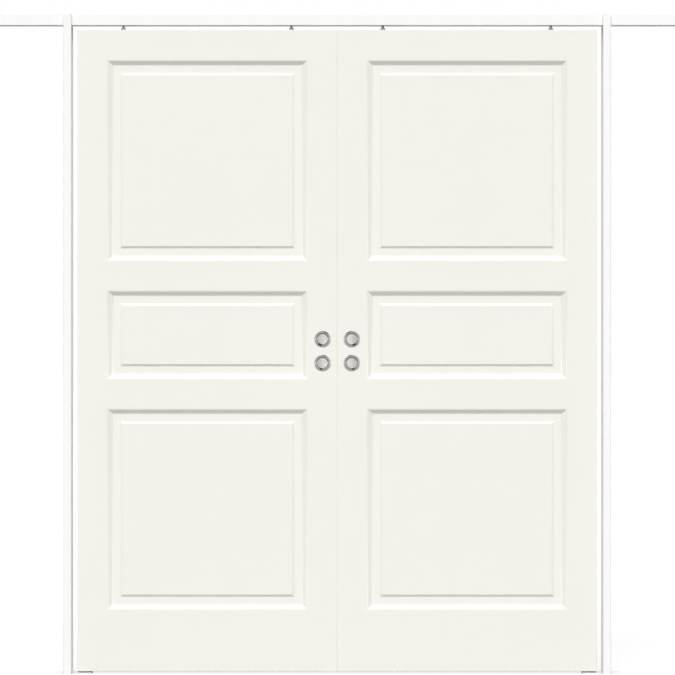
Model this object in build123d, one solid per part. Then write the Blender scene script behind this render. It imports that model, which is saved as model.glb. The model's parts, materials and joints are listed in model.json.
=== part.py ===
from build123d import *

import os
from math import copysign, cos, radians, sin, tan

# A double pocket door: two panelled sliding leaves that meet in the middle of the opening. Each leaf
# hangs from two trolleys in one track, and the slim steel frame forms a pocket on both sides.
# Millimetres. +Z is up, X runs along the opening and the front faces -Y. The origin is on the floor, in
# the middle of the opening and of the frame's depth. Every shape is made for the right-hand side, front
# face, and mirrored to the left and to the rear.

# Leaf
leaf_width = 825.0
leaf_height = 2040.0
leaf_thickness = 40.0
meeting_gap = 1.0
floor_gap = 8.0
leaf_travel = 740.0
skin_thickness = 3.2

# Panels pressed into both skins, counted from the leaf's edges
side_margin = 93.0
bottom_margin = 194.0
top_margin = 94.5
cross_margin = 90.5
short_panel_height = 285.0

# Panel moulding, from its outer edge inwards: a fall, a flat channel, a rise and the raised field. The fall
# and the rise are slopes at their angles from the face, rounded over and under to level ends. The shapes
# that form the panels overshoot what they cut.
fall_width = 21.5
fall_angle = 35.0
channel_depth = 10.5
channel_width = 20.0
rise_width = 9.0
rise_angle = 33.0
field_drop = 5.5
tool_overshoot = 1.0

# Finger pulls, two on each face of a leaf
pull_inset = 46.0
pull_height = 1056.0
pull_spacing = 76.0
pull_mouth_radius = 18.5
pull_ring_width = 7.5
pull_ring_height = 1.8
pull_ring_edge = 0.4
pull_depth = 10.0
pull_floor_round = 6.0
pull_wall = 1.2
pull_bore_gap = 0.3
pull_bore_spare = 0.8

# Timber inside the leaf
pull_side_wood = 19.0
outer_stile_width = 40.0
timber_rail_height = 70.0

# Groove along the leaf's bottom edge and the floor guide's fin in it
fin_thickness = 6.0
fin_gap = 1.0
fin_reach = 14.0
fin_top_gap = 4.0

# Hanger plate let into the leaf's top edge, with its wood screws
plate_length = 90.0
plate_width = 28.0
plate_thickness = 4.0
plate_side_wood = 15.0
plate_screw_inset = 12.0
plate_screw_side = 7.0
wood_screw_radius = 2.0
wood_screw_head_radius = 4.0
wood_screw_length = 35.0

# Hanging bolt with its lock nut
bolt_radius = 4.0
bolt_fit_gap = 0.05
bolt_hole_gap = 0.25
bolt_head_across = 13.0
bolt_head_height = 5.3
bolt_head_pocket_gap = 3.0
nut_height = 6.5

# Trolley
trolley_length = 70.0
trolley_height = 14.0
trolley_half_width = 6.5
axle_spacing = 44.0
axle_radius = 2.5
axle_head_radius = 4.0
axle_head_length = 1.2
axle_end_gap = 0.3
wheel_radius = 11.0
wheel_width = 7.0
wheel_edge_round = 1.0
wheel_web_recess = 1.0
wheel_hub_radius = 5.0
wheel_rim_radius = 9.0
wheel_bore_gap = 0.05
wheel_track_gap = 0.3

# Track
track_gap = 14.0
track_height = 34.0
track_wall = 2.5
slot_side_gap = 3.0
wheel_slot_gap = 1.0
pocket_side_gap = 5.0
header_hole_radius = 3.0
header_hole_pitch = 400.0
header_hole_count = 4

# Stops clamped in the track, with rubber buffers
stop_length = 24.0
stop_side_gap = 4.0
stop_height = 18.0
buffer_length = 5.0
buffer_radius = 6.0
buffer_gap = 0.3

# Frame posts
stud_width = 25.0
stud_depth = 20.0
stud_wall = 2.0
jamb_gap = 18.5
pocket_spare = 50.0
end_post_flange = 30.0
foot_thickness = 2.5
foot_reach = 35.0
floor_hole_radius = 3.0
floor_hole_inset = 15.0
end_floor_hole_spacing = 50.0
wall_hole_radius = 3.0
wall_hole_pitch = 500.0
wall_hole_count = 4
lowest_wall_hole = 250.0

# Seat that carries the track's end on the end post
seat_length = 28.0
seat_width = 60.0
seat_screw_inset = 12.0
seat_screw_radius = 2.0
seat_screw_head_radius = 3.8
seat_screw_head_height = 2.2

# Screws that join the studs to the track
stud_screw_radius = 2.0
stud_screw_head_radius = 4.0
screw_fit_gap = 0.05

# Floor guide between the two mouth studs
guide_inside = 46.0
guide_thickness = 4.0
guide_hole_radius = 2.5
guide_hole_spacing = 30.0
guide_hole_inset = 12.0

# Levels and planes that follow from the sizes above
half_leaf = leaf_thickness / 2
leaf_inner = meeting_gap / 2
leaf_outer = leaf_inner + leaf_width
leaf_bottom = floor_gap
leaf_top = leaf_bottom + leaf_height
timber_half = half_leaf - skin_thickness

panel_width = leaf_width - 2 * side_margin
margins_height = bottom_margin + top_margin + 2 * cross_margin
tall_panel_height = (leaf_height - margins_height - short_panel_height) / 2

pull_cup_radius = pull_mouth_radius + pull_wall
pull_bore_radius = pull_cup_radius + pull_bore_gap
pull_bore_depth = pull_depth + pull_wall + pull_bore_spare
meeting_stile_width = pull_inset + pull_bore_radius + pull_side_wood

hanger_inset = meeting_stile_width + plate_side_wood + plate_length / 2
hanger_places = (leaf_inner + hanger_inset, leaf_outer - hanger_inset)

track_bottom = leaf_top + track_gap
track_floor = track_bottom + track_wall
frame_top = track_bottom + track_height
pocket_half = half_leaf + pocket_side_gap
slot_half = bolt_radius + slot_side_gap
frame_half_depth = pocket_half + stud_depth

axle_level = track_floor + wheel_track_gap + wheel_radius
trolley_bottom = axle_level - trolley_height / 2
trolley_top = axle_level + trolley_height / 2
wheel_inner = slot_half + wheel_slot_gap
wheel_outer = wheel_inner + wheel_width

mouth_inner = leaf_outer + jamb_gap
mouth_middle = mouth_inner + stud_width / 2
end_post_outer = leaf_outer + leaf_travel + pocket_spare + stud_wall
end_post_inner = end_post_outer - stud_wall
mid_middle = (mouth_middle + end_post_outer - end_post_flange) / 2

groove_half = fin_thickness / 2 + fin_gap
groove_depth = guide_thickness + fin_reach + fin_top_gap - floor_gap


def block(x_span, y_span, z_span):
    """A box between three pairs of limits."""
    size = [high - low for low, high in (x_span, y_span, z_span)]
    middle = [(high + low) / 2 for low, high in (x_span, y_span, z_span)]
    return Pos(*middle) * Box(*size)


def rod(radius, start, end, centre, along):
    """A cylinder from start to end along one axis, at the centre given in the other two."""
    middle = (start + end) / 2
    cylinder = Cylinder(radius, end - start)
    if along == "X":
        return Pos(middle, *centre) * Rot(0, 90, 0) * cylinder
    if along == "Y":
        return Pos(centre[0], middle, centre[1]) * Rot(90, 0, 0) * cylinder
    return Pos(*centre, middle) * cylinder


def to_left(shape):
    """The same shape on the left-hand side."""
    return mirror(shape, about=Plane.YZ)


def to_rear(shape):
    """The same shape on the rear face."""
    return mirror(shape, about=Plane.XZ)


def round_width(width, depth, angle):
    """Width of the round at each end of a slope that spans a width and a depth at an angle."""
    slope = tan(radians(angle))
    return (width * slope - depth) / (2 * (slope - tan(radians(angle / 2))))


def rounded_slope(start, end, angle):
    """Arc, straight slope and arc between two points, level at both."""
    width = abs(end[0] - start[0])
    depth = abs(end[1] - start[1])
    bend = round_width(width, depth, angle)
    across = (end[0] - start[0]) / width * bend
    down = (end[1] - start[1]) / depth * bend * tan(radians(angle / 2))
    upper = (start[0] + across, start[1] + down)
    lower = (end[0] - across, end[1] - down)
    outline = TangentArc(start, upper, tangent=(across, 0))
    outline += Line(upper, lower)
    return outline + TangentArc(lower, end, tangent=(lower[0] - upper[0], lower[1] - upper[1]))


def moulded_prism(length, across, edge_width, edge_angle, top_level, bottom_level):
    """A bar along z, whose two flanks narrow its length in x from one level to the other (y is depth)."""
    half = length / 2
    inner = half - edge_width
    outline = rounded_slope((-half, top_level), (-inner, bottom_level), edge_angle)
    outline += Line((-inner, bottom_level), (inner, bottom_level))
    outline += rounded_slope((inner, bottom_level), (half, top_level), edge_angle)
    back = top_level + copysign(tool_overshoot, top_level - bottom_level)
    outline += Polyline((half, top_level), (half, back), (-half, back), (-half, top_level))
    return extrude(make_face(outline), across / 2 + tool_overshoot, dir=(0, 0, 1), both=True)


def moulded_tray(width, height, edge_width, edge_angle, top_level, bottom_level):
    """A rectangular tray shape with mitred flanks on all four sides."""
    upright = moulded_prism(width, height, edge_width, edge_angle, top_level, bottom_level)
    level = moulded_prism(height, width, edge_width, edge_angle, top_level, bottom_level)
    return upright & Rot(0, 90, 0) * level


def panel_hollow(height):
    """The hollow that one panel presses into a skin: y is the depth below the face."""
    hollow = moulded_tray(panel_width, height, fall_width, fall_angle, 0, channel_depth)
    width = panel_width - 2 * (fall_width + channel_width)
    height -= 2 * (fall_width + channel_width)
    return hollow - moulded_tray(width, height, rise_width, rise_angle, channel_depth, field_drop)


def panel_hollows(depth):
    """The hollows of the three panels, with their faces at the depth below the leaf's front."""
    lower = leaf_bottom + bottom_margin + tall_panel_height / 2
    middle = leaf_bottom + bottom_margin + tall_panel_height + cross_margin + short_panel_height / 2
    upper = leaf_top - top_margin - tall_panel_height / 2
    levels = ((lower, tall_panel_height), (middle, short_panel_height), (upper, tall_panel_height))
    centre = (leaf_inner + leaf_outer) / 2
    return [Pos(centre, depth - half_leaf, level) * panel_hollow(height) for level, height in levels]


def pull_places():
    """Upper and lower pull, as x and z."""
    x = leaf_inner + pull_inset
    upper = leaf_bottom + pull_height
    return {"upper": (x, upper), "lower": (x, upper - pull_spacing)}


def pull_bores():
    """The blind holes that take the front pulls."""
    bores = []
    for centre in pull_places().values():
        bores.append(rod(pull_bore_radius, -half_leaf, pull_bore_depth - half_leaf, centre, "Y"))
    return bores


def leaf_skin():
    """Front skin: a pressed board of even thickness with the three panels in it."""
    skin = block((leaf_inner, leaf_outer), (-half_leaf, -timber_half), (leaf_bottom, leaf_top))
    skin += panel_hollows(skin_thickness)
    skin -= panel_hollows(0)
    return skin - pull_bores()


def guide_groove():
    """The groove along the leaf's bottom edge."""
    x_span = (leaf_inner, leaf_outer)
    return block(x_span, (-groove_half, groove_half), (leaf_bottom, leaf_bottom + groove_depth))


def timber(x_span, z_span):
    """A bar of the leaf's inner frame, as thick as the space between the skins."""
    return block(x_span, (-timber_half, timber_half), z_span)


def stile_edges():
    """Where the two stiles end and the rails and the core begin."""
    return leaf_inner + meeting_stile_width, leaf_outer - outer_stile_width


def meeting_stile():
    """Wide stile at the meeting edge, bored for the pulls from both faces."""
    bores = pull_bores()
    bores += [to_rear(bore) for bore in bores]
    return timber((leaf_inner, stile_edges()[0]), (leaf_bottom, leaf_top)) - bores - guide_groove()


def outer_stile():
    """Narrow stile at the pocket edge."""
    return timber((stile_edges()[1], leaf_outer), (leaf_bottom, leaf_top)) - guide_groove()


def plate_screw_places():
    """The four wood screws of each hanger plate, as x and y."""
    x_offset = plate_length / 2 - plate_screw_inset
    places = []
    for hanger in hanger_places:
        for x in (hanger - x_offset, hanger + x_offset):
            places += [(x, -plate_screw_side), (x, plate_screw_side)]
    return places


def top_rail():
    """Top rail with the hanger plates' seats, the bolt heads' pockets and the screw holes."""
    rail = timber(stile_edges(), (leaf_top - timber_rail_height, leaf_top))
    seat_level = leaf_top - plate_thickness
    head_room = bolt_head_height + bolt_head_pocket_gap
    for hanger in hanger_places:
        rail -= hanger_plate_blank(hanger)
        head_pocket_radius = bolt_head_across / (2 * cos(radians(30))) + bolt_head_pocket_gap
        rail -= rod(head_pocket_radius, seat_level - head_room, seat_level, (hanger, 0), "Z")
    for place in plate_screw_places():
        rail -= rod(wood_screw_radius, leaf_top - wood_screw_length, leaf_top, place, "Z")
    return rail


def bottom_rail():
    """Bottom rail with the guide groove."""
    return timber(stile_edges(), (leaf_bottom, leaf_bottom + timber_rail_height)) - guide_groove()


def leaf_core():
    """Honeycomb filling between the stiles, the rails and the two skins."""
    z_span = (leaf_bottom + timber_rail_height, leaf_top - timber_rail_height)
    hollows = panel_hollows(skin_thickness)
    hollows += [to_rear(hollow) for hollow in hollows]
    return timber(stile_edges(), z_span) - hollows


def finger_pull(centre):
    """Front finger pull: a domed ring round a dished cup, turned and pressed in one piece."""
    ring_radius = pull_mouth_radius + pull_ring_width
    crown = ((pull_mouth_radius + ring_radius) / 2, pull_ring_height)
    floor = -pull_depth
    outer_round = pull_floor_round + pull_wall
    inner_bow = pull_floor_round * (1 - sin(radians(45)))
    outer_bow = outer_round * (1 - sin(radians(45)))
    inner_bend = (pull_mouth_radius - inner_bow, floor + inner_bow)
    outer_bend = (pull_cup_radius - outer_bow, floor - pull_wall + outer_bow)
    outline = Line((0, floor), (pull_mouth_radius - pull_floor_round, floor))
    outline += ThreePointArc(outline @ 1, inner_bend, (pull_mouth_radius, floor + pull_floor_round))
    outline += Line((pull_mouth_radius, floor + pull_floor_round), (pull_mouth_radius, pull_ring_edge))
    outline += ThreePointArc((pull_mouth_radius, pull_ring_edge), crown, (ring_radius, pull_ring_edge))
    outline += Polyline(
        (ring_radius, pull_ring_edge),
        (ring_radius, 0),
        (pull_cup_radius, 0),
        (pull_cup_radius, floor - pull_wall + outer_round),
    )
    outline += ThreePointArc(
        (pull_cup_radius, floor - pull_wall + outer_round),
        outer_bend,
        (pull_cup_radius - outer_round, floor - pull_wall),
    )
    outline += Polyline(
        (pull_cup_radius - outer_round, floor - pull_wall),
        (0, floor - pull_wall),
        (0, floor),
    )
    turned = revolve(make_face(outline), axis=Axis.Y)
    return Pos(centre[0], -half_leaf, centre[1]) * Rot(180, 0, 0) * turned


def hanger_plate_blank(hanger):
    """Outline of the plate let into the leaf's top."""
    x_span = (hanger - plate_length / 2, hanger + plate_length / 2)
    return block(x_span, (-plate_width / 2, plate_width / 2), (leaf_top - plate_thickness, leaf_top))


def wood_screw(place, radius_gap):
    """Countersunk wood screw, flush with the leaf's top, or its hole when a gap is given."""
    head_radius = wood_screw_head_radius + radius_gap
    shank_radius = wood_screw_radius + radius_gap
    head_height = head_radius - shank_radius
    head = Pos(*place, leaf_top - head_height / 2) * Cone(shank_radius, head_radius, head_height)
    return head + rod(shank_radius, leaf_top - wood_screw_length, leaf_top - head_height, place, "Z")


def hanger_plate(hanger):
    """Steel plate with a hole for the bolt and four countersunk screw holes."""
    plate = hanger_plate_blank(hanger)
    hole_radius = bolt_radius + bolt_hole_gap
    plate -= rod(hole_radius, leaf_top - plate_thickness, leaf_top, (hanger, 0), "Z")
    for place in plate_screw_places():
        plate -= wood_screw(place, screw_fit_gap)
    return plate


def plate_screws():
    """The wood screws of both hanger plates."""
    return Compound([wood_screw(place, 0).solid() for place in plate_screw_places()])


def hexagon(place, bottom, height):
    """Hexagonal head or nut."""
    outline = RegularPolygon(bolt_head_across / 2, 6, major_radius=False)
    return Pos(*place, bottom) * extrude(outline, height)


def hanger_bolts():
    """Hanging bolts, head under the plate, each with its lock nut above the plate."""
    solids = []
    seat_level = leaf_top - plate_thickness
    for hanger in hanger_places:
        shank = rod(bolt_radius, seat_level, trolley_top, (hanger, 0), "Z")
        bolt = hexagon((hanger, 0), seat_level - bolt_head_height, bolt_head_height) + shank
        nut = hexagon((hanger, 0), leaf_top, nut_height)
        nut -= rod(bolt_radius + bolt_fit_gap, leaf_top, leaf_top + nut_height, (hanger, 0), "Z")
        solids += [bolt.solid(), nut.solid()]
    return Compound(solids)


def axle_places(hanger):
    """X of the two axles of the trolley."""
    return hanger - axle_spacing / 2, hanger + axle_spacing / 2


def trolley(hanger):
    """Trolley body with its riveted axles and a threaded hole for the hanging bolt."""
    x_span = (hanger - trolley_length / 2, hanger + trolley_length / 2)
    body = block(x_span, (-trolley_half_width, trolley_half_width), (trolley_bottom, trolley_top))
    body -= rod(bolt_radius + bolt_fit_gap, trolley_bottom, trolley_top, (hanger, 0), "Z")
    boss_reach = wheel_inner - axle_end_gap
    head_start = wheel_outer + axle_end_gap
    head_end = head_start + axle_head_length
    for x in axle_places(hanger):
        centre = (x, axle_level)
        body += rod(axle_head_radius, -boss_reach, boss_reach, centre, "Y")
        body += rod(axle_radius, -head_end, head_end, centre, "Y")
        body += rod(axle_head_radius, head_start, head_end, centre, "Y")
        body += rod(axle_head_radius, -head_end, -head_start, centre, "Y")
    return body


def wheel(x):
    """Rear wheel on one axle, with a recessed web on its outer side."""
    disc = Cylinder(wheel_radius, wheel_width)
    disc = fillet(disc.edges().filter_by(GeomType.CIRCLE), wheel_edge_round)
    web = Cylinder(wheel_rim_radius, wheel_web_recess) - Cylinder(wheel_hub_radius, wheel_web_recess)
    disc -= Pos(0, 0, (wheel_width - wheel_web_recess) / 2) * web
    disc -= Cylinder(axle_radius + wheel_bore_gap, wheel_width)
    return Pos(x, wheel_inner + wheel_width / 2, axle_level) * Rot(-90, 0, 0) * disc


def wheel_pair(x):
    """The two wheels of one axle."""
    rear = wheel(x)
    return Compound([rear.solid(), to_rear(rear).solid()])


def track():
    """Extruded track over the whole frame, slotted along its bottom, with holes for the header."""
    x_span = (-end_post_inner, end_post_inner)
    outside = block(x_span, (-pocket_half, pocket_half), (track_bottom, frame_top))
    cavity_half = pocket_half - track_wall
    cavity = block(x_span, (-cavity_half, cavity_half), (track_floor, frame_top - track_wall))
    slot = block(x_span, (-slot_half, slot_half), (track_bottom, track_floor))
    profile = outside - cavity - slot
    first = -header_hole_pitch * (header_hole_count - 1) / 2
    for number in range(header_hole_count):
        place = (first + number * header_hole_pitch, 0)
        profile -= rod(header_hole_radius, frame_top - track_wall, frame_top, place, "Z")
    screw_hole_radius = stud_screw_radius + screw_fit_gap
    for x in (-mid_middle, -mouth_middle, mouth_middle, mid_middle):
        profile -= rod(screw_hole_radius, -pocket_half, pocket_half, (x, screw_level()), "Y")
    for place in seat_screw_places():
        hole = rod(seat_screw_radius + screw_fit_gap, track_bottom, track_floor, place, "Z")
        profile -= [hole, to_left(hole)]
    return profile


def screw_level():
    """Height of the screws that join the studs to the track."""
    return track_bottom + track_height / 2


def stop_spans():
    """The closed and the open stop, each as its block's x limits and its buffer's x limits."""
    inner, outer = hanger_places
    closed_face = inner - trolley_length / 2 - buffer_gap
    open_face = outer + leaf_travel + trolley_length / 2 + buffer_gap
    closed_back = closed_face - buffer_length
    open_back = open_face + buffer_length
    closed = ((closed_back - stop_length, closed_back), (closed_back, closed_face))
    opened = ((open_back, open_back + stop_length), (open_face, open_back))
    return closed, opened


def track_stops():
    """Four stop blocks that sit on the track's lips."""
    half_width = pocket_half - track_wall - stop_side_gap
    blocks = []
    for stop_span, _ in stop_spans():
        stop = block(stop_span, (-half_width, half_width), (track_floor, track_floor + stop_height))
        blocks += [stop.solid(), to_left(stop).solid()]
    return Compound(blocks)


def stop_buffers():
    """Rubber buffers on the stops, level with the trolleys."""
    buffers = []
    for _, buffer_span in stop_spans():
        buffer = rod(buffer_radius, *buffer_span, (0, axle_level), "X")
        buffers += [buffer.solid(), to_left(buffer).solid()]
    return Compound(buffers)


def stud_screw(x, radius_gap):
    """Front countersunk screw through a stud into the track's side, or its hole when a gap is given."""
    head_radius = stud_screw_head_radius + radius_gap
    shank_radius = stud_screw_radius + radius_gap
    head_height = head_radius - shank_radius
    head_middle = head_height / 2 - frame_half_depth
    head = Rot(90, 0, 0) * Cone(shank_radius, head_radius, head_height)
    head = Pos(x, head_middle, screw_level()) * head
    tip = track_wall - pocket_half
    return head + rod(shank_radius, head_height - frame_half_depth, tip, (x, screw_level()), "Y")


def stud_screws():
    """The screws of all eight studs."""
    screws = []
    for x in (mouth_middle, mid_middle):
        front = stud_screw(x, 0)
        rear = to_rear(front)
        screws += [front, rear, to_left(front), to_left(rear)]
    return Compound([screw.solid() for screw in screws])


def stud(middle):
    """Front stud beside the pocket: a steel tube on a foot plate that reaches away from the opening."""
    x_span = (middle - stud_width / 2, middle + stud_width / 2)
    y_span = (-frame_half_depth, -pocket_half)
    tube = block(x_span, y_span, (foot_thickness, frame_top))
    inside_x = (x_span[0] + stud_wall, x_span[1] - stud_wall)
    inside_y = (y_span[0] + stud_wall, y_span[1] - stud_wall)
    tube -= block(inside_x, inside_y, (foot_thickness, frame_top))
    foot = block((x_span[0], x_span[1] + foot_reach), y_span, (0, foot_thickness))
    hole_x = x_span[1] + foot_reach - floor_hole_inset
    hole_y = -(pocket_half + stud_depth / 2)
    foot -= rod(floor_hole_radius, 0, foot_thickness, (hole_x, hole_y), "Z")
    return tube + foot - stud_screw(middle, screw_fit_gap)


def seat_screw_places():
    """The two screws that hold the track's right end on its seat, as x and y."""
    y = (slot_half + pocket_half) / 2
    x = end_post_inner - seat_screw_inset
    return (x, -y), (x, y)


def end_post():
    """Channel post at the back of the pocket, with a foot plate and the seat for the track's end."""
    x_span = (end_post_outer - end_post_flange, end_post_outer)
    post = block(x_span, (-frame_half_depth, frame_half_depth), (foot_thickness, frame_top))
    hollow_half = frame_half_depth - stud_wall
    post -= block((x_span[0], end_post_inner), (-hollow_half, hollow_half), (foot_thickness, frame_top))
    foot_span = (x_span[0] - foot_reach, end_post_outer)
    post += block(foot_span, (-frame_half_depth, frame_half_depth), (0, foot_thickness))
    seat_span = (end_post_inner - seat_length, end_post_inner)
    half_seat = seat_width / 2
    post += block(seat_span, (-half_seat, half_seat), (track_bottom - stud_wall, track_bottom))
    for y in (-end_floor_hole_spacing / 2, end_floor_hole_spacing / 2):
        post -= rod(floor_hole_radius, 0, foot_thickness, (foot_span[0] + floor_hole_inset, y), "Z")
    for number in range(wall_hole_count):
        level = lowest_wall_hole + number * wall_hole_pitch
        post -= rod(wall_hole_radius, end_post_inner, end_post_outer, (0, level), "X")
    for place in seat_screw_places():
        hole_radius = seat_screw_radius + screw_fit_gap
        post -= rod(hole_radius, track_bottom - stud_wall, track_bottom, place, "Z")
    return post


def seat_screws():
    """Pan-head screws from below through both seats into the track's lips."""
    screws = []
    head_top = track_bottom - stud_wall
    for place in seat_screw_places():
        screw = rod(seat_screw_head_radius, head_top - seat_screw_head_height, head_top, place, "Z")
        screw += rod(seat_screw_radius, head_top, track_floor, place, "Z")
        screws += [screw.solid(), to_left(screw).solid()]
    return Compound(screws)


def floor_guide():
    """Guide between the mouth studs: a base on the floor and a fin in the leaf's groove."""
    inside = leaf_outer - guide_inside
    outside = mouth_inner + stud_width
    guide = block((inside, outside), (-pocket_half, pocket_half), (0, guide_thickness))
    fin_half = fin_thickness / 2
    fin_top = guide_thickness + fin_reach
    guide += block((inside, leaf_outer), (-fin_half, fin_half), (guide_thickness, fin_top))
    for y in (-guide_hole_spacing / 2, guide_hole_spacing / 2):
        guide -= rod(guide_hole_radius, 0, guide_thickness, (outside - guide_hole_inset, y), "Z")
    return guide


def leaf_nodes():
    """All pieces of the right leaf and its hangers."""
    skin = leaf_skin()
    nodes = {
        "front_skin": skin,
        "rear_skin": to_rear(skin),
        "meeting_stile": meeting_stile(),
        "outer_stile": outer_stile(),
        "top_rail": top_rail(),
        "bottom_rail": bottom_rail(),
        "core": leaf_core(),
        "hanger_bolts": hanger_bolts(),
        "plate_screws": plate_screws(),
    }
    for name, centre in pull_places().items():
        pull = finger_pull(centre)
        nodes[f"front_{name}_pull"] = pull
        nodes[f"rear_{name}_pull"] = to_rear(pull)
    for name, hanger in zip(("inner", "outer"), hanger_places):
        nodes[f"{name}_hanger_plate"] = hanger_plate(hanger)
        nodes[f"{name}_trolley"] = trolley(hanger)
        for number, x in enumerate(axle_places(hanger), start=1):
            nodes[f"{name}_wheels_{number}"] = wheel_pair(x)
    return nodes


def side_nodes():
    """The frame's pieces on the right-hand side."""
    nodes = {"end_post": end_post(), "floor_guide": floor_guide()}
    for name, middle in (("mouth", mouth_middle), ("mid", mid_middle)):
        front = stud(middle)
        nodes[f"front_{name}_stud"] = front
        nodes[f"rear_{name}_stud"] = to_rear(front)
    return nodes


def door_nodes():
    """Every piece of the door by its name."""
    nodes = {
        "track": track(),
        "track_stops": track_stops(),
        "stop_buffers": stop_buffers(),
        "stud_screws": stud_screws(),
        "seat_screws": seat_screws(),
    }
    for name, shape in {**side_nodes(), **leaf_nodes()}.items():
        nodes[f"right_{name}"] = shape
        nodes[f"left_{name}"] = to_left(shape)
    return nodes


os.makedirs("parts", exist_ok=True)
for node_name, node_shape in door_nodes().items():
    export_step(node_shape, f"parts/{node_name}.step")
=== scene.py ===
import json
import logging
import math
from collections.abc import Callable, Iterable
from dataclasses import dataclass, field, replace
from enum import Enum
from itertools import product

import bpy
from mathutils import Euler, Matrix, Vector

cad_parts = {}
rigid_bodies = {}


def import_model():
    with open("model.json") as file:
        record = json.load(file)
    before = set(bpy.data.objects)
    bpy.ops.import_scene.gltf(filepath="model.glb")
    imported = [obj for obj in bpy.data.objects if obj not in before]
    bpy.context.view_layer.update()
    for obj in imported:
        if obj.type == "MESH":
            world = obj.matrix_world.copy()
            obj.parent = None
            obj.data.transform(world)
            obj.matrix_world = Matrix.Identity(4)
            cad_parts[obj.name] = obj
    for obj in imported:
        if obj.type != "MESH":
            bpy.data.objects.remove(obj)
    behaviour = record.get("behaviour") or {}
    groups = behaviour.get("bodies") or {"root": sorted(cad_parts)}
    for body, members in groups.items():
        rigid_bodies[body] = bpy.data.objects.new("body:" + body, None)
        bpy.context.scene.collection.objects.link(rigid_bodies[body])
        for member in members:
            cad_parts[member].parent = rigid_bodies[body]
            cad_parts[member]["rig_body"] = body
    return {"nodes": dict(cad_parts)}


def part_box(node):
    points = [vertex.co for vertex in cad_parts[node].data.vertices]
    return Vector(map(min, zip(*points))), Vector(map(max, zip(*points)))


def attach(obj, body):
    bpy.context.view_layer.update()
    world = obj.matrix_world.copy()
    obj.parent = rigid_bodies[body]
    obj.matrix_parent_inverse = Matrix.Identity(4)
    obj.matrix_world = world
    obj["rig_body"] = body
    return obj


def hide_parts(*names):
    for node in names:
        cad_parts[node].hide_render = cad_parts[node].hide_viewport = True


Point = tuple[float, float, float]
Step = tuple[float, float]
Colour = tuple[float, float, float]
Node = bpy.types.Node
Socket = bpy.types.NodeSocket

NEAR = 1e-6
SAME_WAY = 0.9
BY_AREA = 100
HOLE_SIDES = 32
LOWEST: Point = (-math.inf,) * 3
HIGHEST: Point = (math.inf,) * 3

SRGB_KNEE = 0.04045
SRGB_SLOPE = 12.92
SRGB_OFFSET = 0.055
SRGB_POWER = 2.4

PULL_LEVELS = ("upper", "lower")
STUD_PLACES = ("mouth", "mid")
GEAR_PLACES = ("inner", "outer")

log = logging.getLogger("pocket_door")
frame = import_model()


class Half(Enum):
    """One of two mirrored halves, as the sign of its axis."""

    @property
    def word(self) -> str:
        """The word for it in the names of nodes."""
        return self.name.lower()


class Side(Half):
    """The half of the door that a piece belongs to: the sign of its X."""

    LEFT = -1
    RIGHT = 1


class Face(Half):
    """The face of a leaf or of the frame: the sign of its Y."""

    FRONT = -1
    REAR = 1


class Axis(Enum):
    """A row axis, as the turn that brings a primitive's own Z onto it."""

    X = (0.0, math.pi / 2, 0.0)
    Y = (-math.pi / 2, 0.0, 0.0)
    Z = (0.0, 0.0, 0.0)

    @property
    def index(self) -> int:
        """Its place in a point."""
        return "XYZ".index(self.name)


class Facing(Enum):
    """Where the upper end of a pattern looks once it is placed, as the turn that brings it there."""

    UP = (0.0, 0.0, 0.0)
    DOWN = (math.pi, 0.0, 0.0)
    FRONT = (math.pi / 2, 0.0, 0.0)
    REAR = (-math.pi / 2, 0.0, 0.0)
    LEFT = (0.0, -math.pi / 2, 0.0)
    RIGHT = (0.0, math.pi / 2, 0.0)


def linear(red: int, green: int, blue: int) -> Colour:
    """Scene-linear colour of an sRGB one.

    Args:
        red: Red from 0 to 255.
        green: Green from 0 to 255.
        blue: Blue from 0 to 255.

    Returns:
        The three linear channels.
    """
    channels = []
    for value in (red, green, blue):
        share = value / 255
        bent = ((share + SRGB_OFFSET) / (1 + SRGB_OFFSET)) ** SRGB_POWER
        channels.append(share / SRGB_SLOPE if share <= SRGB_KNEE else bent)
    return tuple(channels)


def middle_of(node: str) -> Point:
    """Middle of a CAD node's box."""
    low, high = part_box(node)
    return tuple((a + b) / 2 for a, b in zip(low, high))


def inside(point: Point, low: Point, high: Point) -> bool:
    """Whether a point lies in a box."""
    return all(a <= c <= b for a, c, b in zip(low, point, high))


def slab(axis: Axis, low: float, high: float) -> tuple[Point, Point]:
    """Corners of the endless layer between two levels of an axis, both levels included.

    Args:
        axis: The axis.
        low: Its lower level.
        high: Its upper level.

    Returns:
        Lowest and highest corner.
    """
    corners = [list(LOWEST), list(HIGHEST)]
    corners[0][axis.index] = low - NEAR
    corners[1][axis.index] = high + NEAR
    return tuple(corners[0]), tuple(corners[1])


def moves(points: list[Step]) -> list[Step]:
    """The moves from each point of a profile to the next."""
    return [(b[0] - a[0], b[1] - a[1]) for a, b in zip(points, points[1:])]


def slope_steps(width: float, drop: float, angle: float, count: int) -> list[Step]:
    """Small moves over an arc, a straight slope and an arc that are level at both ends.

    Args:
        width: How far the slope reaches inwards.
        drop: How far it sinks, negative where it rises.
        angle: Angle of the straight part from the face, in degrees.
        count: Moves on each arc.

    Returns:
        Pairs of inward and sinking moves.
    """
    turn = math.radians(angle)
    depth = abs(drop)
    bend = (width * math.tan(turn) - depth) / (2 * (math.tan(turn) - math.tan(turn / 2)))
    radius = bend / math.sin(turn)
    angles = [turn * number / count for number in range(count + 1)]
    first = [(radius * math.sin(a), radius * (1 - math.cos(a))) for a in angles]
    points = first + [(width - x, depth - y) for x, y in reversed(first)]
    sign = math.copysign(1, drop)
    return moves([(x, sign * y) for x, y in points])


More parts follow.
